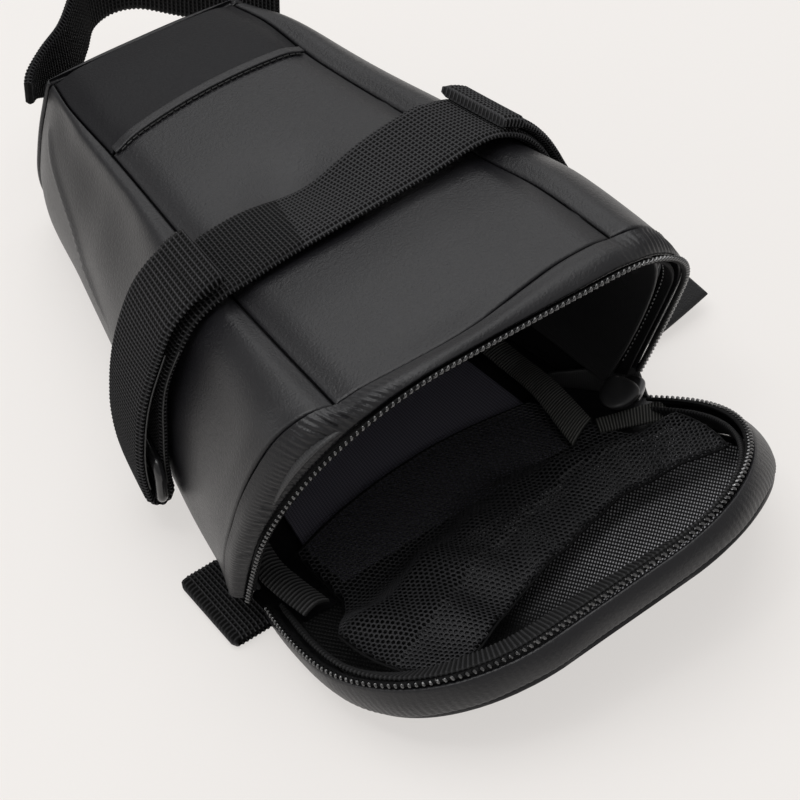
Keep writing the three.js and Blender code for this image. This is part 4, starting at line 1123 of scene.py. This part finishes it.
def canvas(name, color, roughness, pitch, deep, lit):
    """Canvas: a grid of light thread backs brightened as painted highlights, on black gaps of painted shade,
    and dark toward the side that lies in shade as painted shade.
    """
    tree, shader = new_material(name, color, roughness, Specular_IOR_Level=0.2)
    across, weft, warp = (run_along(tree, way) for way in ((1, 0, 0), *THREADS))
    threads = thread_waves(weft, warp, *pitch, shift=0.0)
    shade = node(tree, "ShaderNodeMapRange", {"Value": across, "From Min": lit[0], "From Max": lit[1]})
    # Painted highlights on the thread backs, painted shade in the gaps and toward the shaded side
    tint(shader, threads**3.0 * shade, color, 0.01)
    bump(shader, threads, deep)


def ribbed(name, color, roughness, pitch):
    """Ribbed tape: fine cross threads over the ribs of its shape."""
    tree, shader = new_material(name, color, roughness, Specular_IOR_Level=0.3)
    run, aside = cloth_axes(tree)
    tint(shader, wave(run / pitch) ** 5.0, color, 0.12)
    bump(shader, wave(aside / YARN_PITCH) * 0.6 + noise(tree, FUZZ_SCALE), 0.06)


def webbing_look(name, color):
    """Webbing: twisted threads on each cross rib, and a basket of both thread ways past the sewn kink; the
    light lines on the rib crests are partly that pattern and partly painted highlight, and the near-black
    gaps are painted shade.
    """
    tree, shader = new_material(name, color, 0.7, Specular_IOR_Level=0.08)
    run, aside = cloth_axes(tree)
    rib, knot = run / RIB_PITCH, aside / KNOT_PITCH
    crest, cross = wave(rib), wave(knot)
    dashes = wave(knot + rib) * 0.7 + 0.3
    lines = maths("MAXIMUM", crest**8.0 * dashes, cross**6.0 * 0.3)
    basket = maths("MAXIMUM", crest**6.0 * dashes, cross**5.0 * 0.8)
    past = maths("GREATER_THAN", run, aside * KINK.skew + KINK.at)
    yarn_and_highlights = lines * (1.0 - past) + basket * past
    # Light rib crests are partly weave pattern and partly painted highlight; the near-black gaps are painted
    # shade
    tint(shader, yarn_and_highlights, color, 0.01)
    bump(shader, yarn_and_highlights + noise(tree, FUZZ_SCALE) * 0.35, 0.3)


def plain(name, color, roughness, scale, deep, **inputs):
    """Moulded or metal finish with a faint grain and uneven gloss."""
    tree, shader = new_material(name, color, roughness, **inputs)
    grain = noise(tree, scale, 3.0)
    uneven_gloss(shader, grain, 0.8 * roughness, 1.25 * roughness)
    bump(shader, grain, deep)


def thread(name, grey):
    plain(name, (grey, grey, grey), 0.6, FUZZ_SCALE, 0.02)


def looks():
    coated("coated_cloth", (0.0065, 0.0063, 0.0078), 0.32, 0.48, 0.45)
    coated("coated_cloth_dark", (0.004, 0.0039, 0.0052), 0.4, 0.58, 0.22)
    ribbed("ribbed_tape", (0.028, 0.028, 0.0295), 0.7, TAPE_RIB)
    ribbed("ribbed_coarse", (0.1, 0.1, 0.102), 0.7, TAPE_RIB)
    ribbed("ribbed_fine", (0.13, 0.13, 0.122), 0.75, FINE_RIB)
    woven("tape_plain", (0.008, 0.008, 0.009), 0.8, 0.5, 0.45, 0.05, Specular_IOR_Level=0.2)
    plain("zip_teeth", (0.006, 0.006, 0.0065), 0.16, 3000.0, 0.005, IOR=2.05)
    plain("mesh", (0.028, 0.028, 0.03), 0.5, 5000.0, 0.04, Specular_IOR_Level=0.25)
    canvas("lining_canvas", (0.52, 0.52, 0.545), 0.6, (0.74, 0.74), 0.2, (-26.0, 0.0))
    woven("lining_smooth", (0.16, 0.155, 0.2), 0.6, 0.55, 0.5, 0.05, 0.3)
    woven("lining_black", (0.036, 0.036, 0.038), 0.5, 0.5, 0.45, 0.04, 0.4)
    webbing_look("webbing", (0.075, 0.075, 0.078))
    plain("felt", (0.022, 0.022, 0.023), 0.9, 2500.0, 0.3, Specular_IOR_Level=0.15, Sheen_Weight=0.2)
    plain("loop_plastic", (0.012, 0.012, 0.013), 0.22, 900.0, 0.01)
    plain("slider_metal", (0.16, 0.16, 0.165), 0.3, 1500.0, 0.01, Metallic=1.0)
    plain("pull_plastic", (0.016, 0.016, 0.017), 0.42, 1200.0, 0.02)
    thread("thread_dark", 0.008)
    thread("thread_light", 0.3)
    thread("thread_grey", 0.035)


def piece(obj, slot, *nodes, look=None):
    """Give a piece its finish, and let it ride on the part and stand for its solids."""
    obj.data.materials.append(MATERIALS[look or slot])
    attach(obj, "root")
    if nodes:
        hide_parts(*nodes)
    return obj


# Shell

def creased(s, t, points):
    """Left side: soft unevenness, a sharp long crease and the hollows above it."""
    y = np.linspace(CREASE["y"][0], CREASE["y"][-1], 60)
    line = side_point(-1, y, column(CREASE, "up", y))
    near = np.min(np.linalg.norm(points[:, :, None] - line, axis=3), axis=2)
    ridge = column(CREASE, "tall", np.clip(points[..., 1], y[0], y[-1])) * bell(near / CREASE_WIDE)
    hollow = 0 * s
    for at, up, reach, deep in HOLLOWS:
        middle = side_point(-1, np.array(at), np.array(up))
        hollow = hollow - deep * bell(np.linalg.norm(points - middle, axis=2) / reach)
    return soft(2, 0.4)(s, t, points) + ridge + hollow * smooth(from_border(s, t), 0, SEAM_CALM)


def shell():
    panels = (
        ("side_panel_left_cloth", side_left, (150, 110), creased, "coated_cloth", "side_panel_left"),
        ("side_panel_right_cloth", side_right, (100, 70), soft(4, 0.35), "coated_cloth", "side_panel_right"),
        ("top_panel_cloth", top_rear, (90, 100), soft(7, 0.22), "coated_cloth", "top_panel"),
        ("top_front_cloth", top_front, (70, 30), soft(8, 0.15), "coated_cloth_dark", "top_front_panel"),
        ("bottom_cloth", bottom, (40, 60), None, "coated_cloth", "bottom_panel"),
        ("front_cloth", front_panel, (50, 50), soft(9, 0.2), "coated_cloth", "front_panel"),
    )
    for name, surface, counts, relief, slot, solid in panels:
        piece(cloth(name, surface, counts, WALL, relief), slot, solid)
    piece(cloth("top_hem_cloth", hem_point, (110, 8), HEM.rise), "coated_cloth", "top_hem")
    u = np.linspace(0.015, 0.985, 200)
    path = hem_point(u, 0 * u) + vec(0, -0.35, -0.5)
    piece(stitches("hem_stitches", path, "hem"), "coated_cloth", look="thread_dark")


# Zips and their bands

def zip_teeth(name, shape, ends, place, solid):
    """Coil of a zip: a bent bar for each tooth, on a core cord."""
    length = shape.lengths[-1] * (ends[1] - ends[0])
    count = int(length / TOOTH_PITCH)
    run = on_ends(ends, (np.arange(count) + 0.5) / count)
    runs = run[:, None] + TOOTH["lean"][None, :] / length
    paths = place(*beside_zip(shape, runs, TOOTH["side"]), TOOTH["off"] + 0 * runs)
    piece(joined_tubes(name, paths, TOOTH_RADIUS), "zip_teeth", solid)
    core = COIL_CORE
    run = on_ends(ends, even(core.rings))[:, None]
    angle = np.linspace(0, 2 * math.pi, core.sides, endpoint=False)[None, :]
    aside = core.half_wide * np.cos(angle) + core.side
    rings = place(*beside_zip(shape, run, aside), core.half_tall * np.sin(angle) + core.off + 0 * run)
    piece(swept(name + "_core", rings), "zip_teeth", look="tape_plain")


def puckers(s, t, points):
    """Gathers of the band near the zip, coarser over the corners, and a raised lip at its back seam."""
    place = s / s.max()
    share = np.clip(t / t.max(), 0, 1)
    wobble = GATHER_WOBBLE * waves(points, 5, 16, 6)
    near_zip = smooth(share, FINE_GATHERS.start, FINE_GATHERS.end)
    fine = np.sin(2 * math.pi * s / FINE_GATHERS.pitch + wobble) * near_zip
    coarse = np.sin(2 * math.pi * s / COARSE_GATHERS.pitch + wobble) * np.sin(math.pi * share)
    right = GATHER_RIGHT.share * (1 - smooth(place, GATHER_RIGHT.start, GATHER_RIGHT.end))
    sides = smooth(place, GATHER_LEFT.start, GATHER_LEFT.end) + right
    corners = sum(part * bell((place - at) / wide) for at, wide, part in GATHER_CORNERS)
    gathers = FINE_GATHERS.deep * fine * sides + COARSE_GATHERS.deep * coarse * corners
    lip = SEAM_LIP.tall * bell((t - SEAM_LIP.at) / SEAM_LIP.wide)
    return gathers + BAND_UNEVEN * waves(points, 6, 24, 9) + lip


def rim():
    piece(cloth("rim_band_cloth", rim_band, (700, 10), WALL, puckers), "coated_cloth", "rim_band")
    piece(cloth("rim_tape_cloth", rim_tape, (400, 6), TAPE), "ribbed_tape", "zip_tape_rim", look="tape_plain")
    run = np.linspace(0.02, 0.98, 400)
    path = rim_tape(run, 0 * run + 0.3) + push_out(on_ends(RIM_ENDS, 1 - run), 0 * run - TAPE - 0.05)
    piece(stitches("rim_tape_stitches", path, "rim"), "ribbed_tape", look="thread_light")
    zip_teeth("rim_coil", RIM, RIM_ENDS, on_rim, "zip_teeth_rim")


def lid_gathers(s, t, points):
    fine = np.sin(2 * math.pi * s / LID_GATHERS.pitch + waves(points, 13, 14, 6))
    slow = LID_GATHERS.uneven * waves(points, 12, 30, 10)
    return slow + LID_GATHERS.deep * fine * np.clip(t / t.max(), 0, 1)


def lid():
    piece(cloth("lid_band_cloth", lid_band, (700, 12), WALL, lid_gathers), "coated_cloth", "lid_band")
    piece(cloth("lid_panel_cloth", lid_panel, (70, 50), WALL), "coated_cloth", "lid_panel")
    zip_teeth("lid_coil", LID, LID_ENDS, lambda u, v, off: on_lid(u, v, off + GAP), "zip_teeth_lid")
    tape = cloth("lid_tape_cloth", lid_tape, (1500, 5), TAPE, tape_ribs(TAPE_RIB), True)
    piece(tape, "ribbed_tape", "lid_tape")
    lining = cloth("lid_lining_cloth", lid_lining, (70, 60), LINING, soft(14, 0.3, 40, 14))
    piece(lining, "lining_canvas", "lid_lining")
    declare(lid_lining)


# Mesh pocket

def net_lengths():
    """Places along the pocket by share of its true length, and the lengths, by place across."""
    across, shares = np.linspace(-1, 1, 61), even(240)
    points = mesh_pocket(*grid((across + 1) / 2, shares))
    runs = [path_lengths(path) for path in points]
    places = np.array([np.interp(shares, run / run[-1], shares) for run in runs])
    return Named(across=across, places=places, total=np.array([run[-1] for run in runs]))


NET = net_lengths()


def net_total(across):
    return np.interp(across, NET.across, NET.total)


def net_place(x, along_it):
    """Place across and along the pocket of a flat point in millimetres."""
    across = x / MESH_WIDE
    last_across, last_along = np.array(NET.places.shape) - 1.001
    for _ in range(SETTLE_ROUNDS):
        share = np.clip(along_it / net_total(across), 0, 1) * last_along
        at = np.clip((across + 1) / 2, 0, 1) * last_across
        i, j = at.astype(int), share.astype(int)
        near = along(NET.places[i, j], NET.places[i + 1, j], at - i)
        far = along(NET.places[i, j + 1], NET.places[i + 1, j + 1], at - i)
        v = along(near, far, share - j)
        wide = along(MESH_SEWN.half, mesh_reach(across, v)[0], np.clip(v / MESH_BEND, 0, 1))
        across = np.clip(x / wide, -1, 1)
    return across, v


def on_net(x, along_it, lift):
    """Point of the pocket above a flat point, with its soft folds and the step of its doubled hem."""
    across, v = net_place(x, along_it)
    u = (across + 1) / 2
    points = mesh_pocket(u, v)
    past_hem = along_it - (net_total(across) - MESH_HEM)
    hem = MESH_STEP * smooth(past_hem, MESH_STEP_AT.start, MESH_STEP_AT.end)
    fold = MESH_FOLD * waves(points, 31, 30, 11, 12) * smooth(v, MESH_BEND, MESH_FOLD_FULL)
    return points + normals(mesh_pocket, u, v) * (lift + hem + fold)[..., None]


def hole_centres(from_edge, shift):
    """Flat places of the net's holes, in rows set half a pitch apart."""
    rows = np.arange(MESH_PITCH, net_total(-1.0), MESH_PITCH * math.sqrt(3) / 2) + shift
    columns = np.arange(-MESH_WIDE, MESH_WIDE, MESH_PITCH) + shift
    x, t = np.meshgrid(columns, rows)
    x = x + 0.5 * MESH_PITCH * (np.arange(len(rows)) % 2)[:, None]
    x, t = x.ravel(), t.ravel()
    across, _ = net_place(x, t)
    left = net_total(across) - t
    keep = (np.abs(across) < MESH_TRIM) & (left > 0.5 * MESH_PITCH) & (left < from_edge)
    return np.stack([x[keep], t[keep]], 1)


def net(name, from_edge, shift, under):
    """Hexagon net of the pocket: one ring of cloth round each hole, front and back."""
    centre = hole_centres(from_edge, shift)[:, None]
    corner = np.arange(6) / 6 * 2 * math.pi + math.pi / 6
    ring = MESH_PITCH / math.sqrt(3) * np.stack([np.cos(corner), np.sin(corner)], 1)[None]
    hole = (centre + MESH_HOLE * ring).reshape(-1, 2)
    shared, cells = np.unique(np.round((centre + ring).reshape(-1, 2), 3), axis=0, return_inverse=True)
    depth = MESH_DEPTH
    layers = ((shared, depth.front), (hole, depth.front_hole), (shared, depth.back), (hole, depth.back_hole))
    points = np.concatenate([on_net(*flat.T, lift - under + 0 * flat[:, 0]) for flat, lift in layers])
    behind = len(shared) + len(hole)
    a = cells.reshape(-1, 6)
    b = len(shared) + np.arange(len(hole)).reshape(-1, 6)
    next_a, next_b = np.roll(a, -1, axis=1), np.roll(b, -1, axis=1)
    start, end = outline_edges(a, next_a).T
    faces = np.concatenate([
        quads(a, next_a, next_b, b),
        quads(a + behind, b + behind, next_b + behind, next_a + behind),
        quads(b, next_b, next_b + behind, b + behind),
        quads(end, start, start + behind, end + behind),
    ])
    return mesh_object(name, points, faces)


def outline_edges(cells, after):
    """Edges that belong to one cell only."""
    edges = np.stack([cells.ravel(), after.ravel()], 1)
    _, where, count = np.unique(np.sort(edges, axis=1), axis=0, return_inverse=True, return_counts=True)
    return edges[count[where.ravel()] == 1]


def mesh_cord(name, path):
    piece(swept(name, tube(path, MESH_CORD.radius, MESH_CORD.sides)), "mesh", look="tape_plain")


def pocket():
    mesh = piece(net("mesh_pocket_net", math.inf, 0.0, 0.0), "mesh", "mesh_pocket")
    declare(mesh_pocket)
    piece(net("mesh_hem_net", MESH_HEM, MESH_HEM_SHIFT, MESH_HEM_UNDER), "mesh")
    x = np.linspace(-MESH_WIDE, MESH_WIDE, 240)
    across, _ = net_place(x, 0 * x + net_total(-1.0))
    inner = np.abs(across) < MESH_CORD.trim
    x, total = x[inner], net_total(across[inner])
    mesh_cord("mesh_edge", on_net(x, total, 0 * x - MESH_CORD.low))
    path = on_net(x, total - MESH_HEM, 0 * x + 0.3)
    piece(stitches("mesh_stitches", path, "mesh"), "mesh", look="thread_light")
    side = even(80)
    borders = {"left": (0 * side, side), "right": (0 * side + 1, side), "sewn": (side, 0 * side)}
    for name, (u, v) in borders.items():
        mesh_cord("mesh_border_" + name, mesh_pocket(u, v) - vec(0, 0, MESH_CORD.low))


# Inside of the body

def crumple(s, t, points):
    """Crumpled lining, deeper on the right, and calm where it is sewn to the zip tape."""
    deep = along(CRUMPLE.left, CRUMPLE.right, smooth(s / s.max(), CRUMPLE.start, CRUMPLE.end))
    return deep * np.tanh(waves(points, 21, 24, 8, 20)) * smooth(t, 0, CRUMPLE.calm)


def inside():
    walls = cloth("lining_walls_cloth", lining_wall, (150, 60), LINING, crumple)
    piece(walls, "lining_smooth", "lining_walls", look="lining_black")
    declare(lining_wall)
    floor = cloth("lining_floor_cloth", lining_floor, (60, 70), LINING, soft(22, 0.15, 40, 15))
    piece(floor, "lining_smooth", "lining_floor")
    declare(lining_floor)
    for name, row in BINDINGS.items():
        count = int((row.line["y"][-1] - row.line["y"][0]) / row.rib * BINDING_POINTS)
        relief = tape_ribs(row.rib, BINDING_RELIEF * row.rib)
        tape = cloth(name + "_tape", binding(row), (count, 7), TAPE, relief)
        piece(tape, "ribbed_tape", name, look=row.look)


# Webbing

def webbing_sheet(name, points, thick, hem=0.0):
    """Webbing from a coarse grid along its run: cross ribs on both faces, knobbly edges and doubled ends."""
    run = lay_out(points)[0][:, 0]
    fine = np.linspace(0, run[-1], int(run[-1] / RIB_PITCH * RIB_POINTS) + 1)
    dense = np.stack([path_points(fine, run, points[:, j]) for j in range(points.shape[1])], 1)
    normal = cross_normals(dense)
    s, t = lay_out(dense)
    lift = RIB_RELIEF * (ribs(s, RIB_PITCH, RIB_SHARP) - 0.5)
    if hem:
        ends = np.minimum(s, s[-1:, :] - s)
        lift = lift + STRAP_HEM.rise * (1 - smooth(ends, hem - STRAP_HEM.blend, hem + STRAP_HEM.blend))
    edge = np.minimum(t, t[:, -1:] - t)
    drop = edge_drop(s, t, WEBBING_ROUND * thick)
    aside = unit(np.gradient(dense, axis=1)) * np.sign(t - t[:, -1:] / 2)[..., None]
    knobs = (KNOBS.deep * (ribs(s, RIB_PITCH) - 0.5) * (edge < KNOBS.reach))[..., None] * aside
    front = dense + normal * (lift - drop)[..., None] + knobs
    back = dense - normal * (thick + lift - drop)[..., None] + knobs
    return closed_sheet(name, front, back, s, t)


def grid_of(surface, count):
    return surface(*grid(even(count + 1), even(STRAP_ROWS.across + 1)))


def rail_strap():
    points = strap_grid()
    strap = webbing_sheet("rail_strap_webbing", points, WEBBING, STRAP_HEM.long)
    piece(strap, "webbing", "rail_strap")
    run = lay_out(points)[0][:, 0]
    normal = cross_normals(points)
    raised = points + normal * (STRAP_HEM.rise + STRAP_HEM.thread)
    near, far = STRAP_HEM.stitched, STRAP_HEM.long - STRAP_HEM.stitched
    for k, at in enumerate((near, far, run[-1] - near, run[-1] - far)):
        path = np.stack([path_points(at, run, raised[:, j]) for j in range(points.shape[1])])
        piece(stitches("strap_stitches_%d" % k, path, "strap"), "webbing", look="thread_grey")
    for k, (start, end) in enumerate(STRAP_EDGES):
        at = (run > start) & (run < end)
        path = points[at, 0] - vec(0, EDGE_CORD.ahead, 0) - normal[at, 0] * EDGE_CORD.low
        cord = swept("strap_edge_%d" % k, tube(path, EDGE_CORD.radius, EDGE_CORD.sides))
        piece(cord, "webbing", look="thread_grey")


def loop(side, name):
    """Plastic rectangular loop with rounded corners."""
    bar, sideways, upward, out = loop_frame(side)
    middle = bar + upward * (LOOP.tall - LOOP.bar) / 2
    half_wide = (LOOP.wide - LOOP.bar) / 2 - LOOP.corner
    half_tall = (LOOP.tall - LOOP.bar) / 2 - LOOP.corner
    thick = np.arange(16) / 16 * 2 * math.pi
    reach = LOOP.corner + LOOP.bar / 2 * np.cos(thick)
    deep = LOOP.bar / 2 * LOOP.flat * np.sin(thick)
    rings = []
    for k, (wide, tall) in enumerate(((1, 1), (-1, 1), (-1, -1), (1, -1))):
        for angle in (k + even(10)) * math.pi / 2:
            across = wide * half_wide + reach * math.cos(angle)
            up = tall * half_tall + reach * math.sin(angle)
            rings.append(middle + across[:, None] * sideways + up[:, None] * upward + deep[:, None] * out)
    return swept(name, np.array(rings), True)


def straps():
    rail_strap()
    post = webbing_sheet("post_strap_webbing", grid_of(post_strap, 90), WEBBING)
    piece(post, "webbing", "post_strap")
    declare(post_strap)
    for side, name in SIDE_NAME.items():
        piece(loop(side, "loop_ring_" + name), "loop_plastic", "strap_loop_" + name)
    left = webbing_sheet("tab_webbing_left", grid_of(tab_left, 60), TAB_LEFT.thick)
    piece(left, "webbing", "rear_tab_left")
    right = cloth("tab_felt_right", tab_right, (40, 30), TAB_RIGHT.thick)
    piece(right, "webbing", "rear_tab_right", look="felt")


# Hinge corner, slider and pull

def bilinear(corners):
    """Plain sheet between four corners: rear low, rear high, front low and front high."""
    a, b, c, d = np.array(corners, float)

    def surface(u, v):
        u, v = np.asarray(u)[..., None], np.asarray(v)[..., None]
        return along(along(a, b, v), along(c, d, v), u)
    return surface


def hinge_corner():
    """Facing and end of the ribbed tape behind the zip pull."""
    facing = cloth("hinge_facing_right", bilinear(HINGE_FACING), (20, 12), LINING)
    piece(facing, "lining_smooth", look="lining_black")
    tape = cloth("hinge_tape_right", bilinear(HINGE_TAPE), (160, 6), TAPE, tape_ribs(FINE_RIB, 0.2))
    piece(tape, "ribbed_tape", look="ribbed_fine")


def squared(value):
    """Sine or cosine drawn toward the corners of a square."""
    return np.sign(value) * np.abs(value) ** BLOCK.square


def lozenge(name, row):
    """Block with rounded ends lying flat, turned about Z."""
    run = np.array([math.cos(row.turn), math.sin(row.turn), 0])
    side = np.array([-run[1], run[0], 0])
    place = np.linspace(-1, 1, BLOCK.rings)[:, None]
    swell = np.sqrt(np.maximum(1 - np.abs(place) ** BLOCK.power, BLOCK.tip)) * (1 + row.taper * place)
    angle = np.linspace(0, 2 * math.pi, BLOCK.sides, endpoint=False)[None, :]
    wide = squared(np.cos(angle)) * swell * row.wide / 2
    tall = squared(np.sin(angle)) * np.minimum(1, swell * BLOCK.full) * row.tall / 2
    middle = np.array([row.x, row.y, row.z]) + (place * row.long / 2 + 0 * angle)[..., None] * run
    return swept(name, middle + wide[..., None] * side + vec(0, 0, tall))


def fittings():
    piece(lozenge("slider_body", SLIDER), "slider_metal", "zip_slider")
    piece(lozenge("pull_tongue", PULL), "pull_plastic", "zip_pull")


# Stage

def look_matrix(back):
    right = unit(np.cross((0, 0, 1.0), back))
    return np.stack([right, np.cross(back, right), back], 1)


def softbox(name, place, size, power):
    light = bpy.data.lights.new(name, "AREA")
    light.size = size
    light.energy = power
    obj = linked(bpy.data.objects.new(name, light))
    obj.location = place
    back = unit(np.array(place) - np.array(SOFTBOX_AIM))
    obj.rotation_euler = Matrix(look_matrix(back)).to_euler()


def stage():
    mesh = bpy.data.meshes.new("floor")
    corners = [(x * FLOOR.half, y * FLOOR.half, 0) for x, y in ((-1, -1), (1, -1), (1, 1), (-1, 1))]
    mesh.from_pydata(corners, [], [(0, 1, 2, 3)])
    glow = {"Emission_Color": (*FLOOR.glow, 1), "Emission_Strength": FLOOR.lit}
    tree, shader = new_material("floor_paper", FLOOR.paper, 0.9, **glow)
    bump(shader, noise(tree, 800.0), 0.02)
    mesh.materials.append(MATERIALS["floor_paper"])
    floor = linked(bpy.data.objects.new("floor", mesh))
    world = bpy.data.worlds.new("studio")
    world.use_nodes = True
    background = world.node_tree.nodes["Background"]
    background.inputs["Color"].default_value = WORLD_LIGHT.color
    background.inputs["Strength"].default_value = WORLD_LIGHT.strength
    bpy.context.scene.world = world
    for row in SOFTBOXES:
        softbox(*row)


def camera():
    azimuth, elevation, roll = (math.radians(a) for a in (CAMERA.azimuth, CAMERA.elevation, CAMERA.roll))
    level = math.cos(elevation)
    back = np.array([math.sin(azimuth) * level, -math.cos(azimuth) * level, math.sin(elevation)])
    flat = look_matrix(back)
    right = math.cos(roll) * flat[:, 0] + math.sin(roll) * flat[:, 1]
    up = -math.sin(roll) * flat[:, 0] + math.cos(roll) * flat[:, 1]
    eye = CAMERA.x * right + CAMERA.y * up + CAMERA.away * back + HINGE
    data = bpy.data.cameras.new("photo_camera")
    data.sensor_width = 36.0
    data.lens = CAMERA.focal / PHOTO_SIDE * data.sensor_width
    data.clip_start = 0.05
    matrix = np.eye(4)
    matrix[:3, :3] = np.stack([right, up, back], 1)
    matrix[:3, 3] = eye * METRE
    obj = linked(bpy.data.objects.new("photo_camera", data))
    obj.matrix_world = Matrix(matrix.tolist())
    bpy.context.scene.camera = obj
    bpy.context.scene.view_settings.view_transform = "Standard"


looks()
shell()
rim()
lid()
pocket()
inside()
straps()
hinge_corner()
fittings()
stage()
camera()
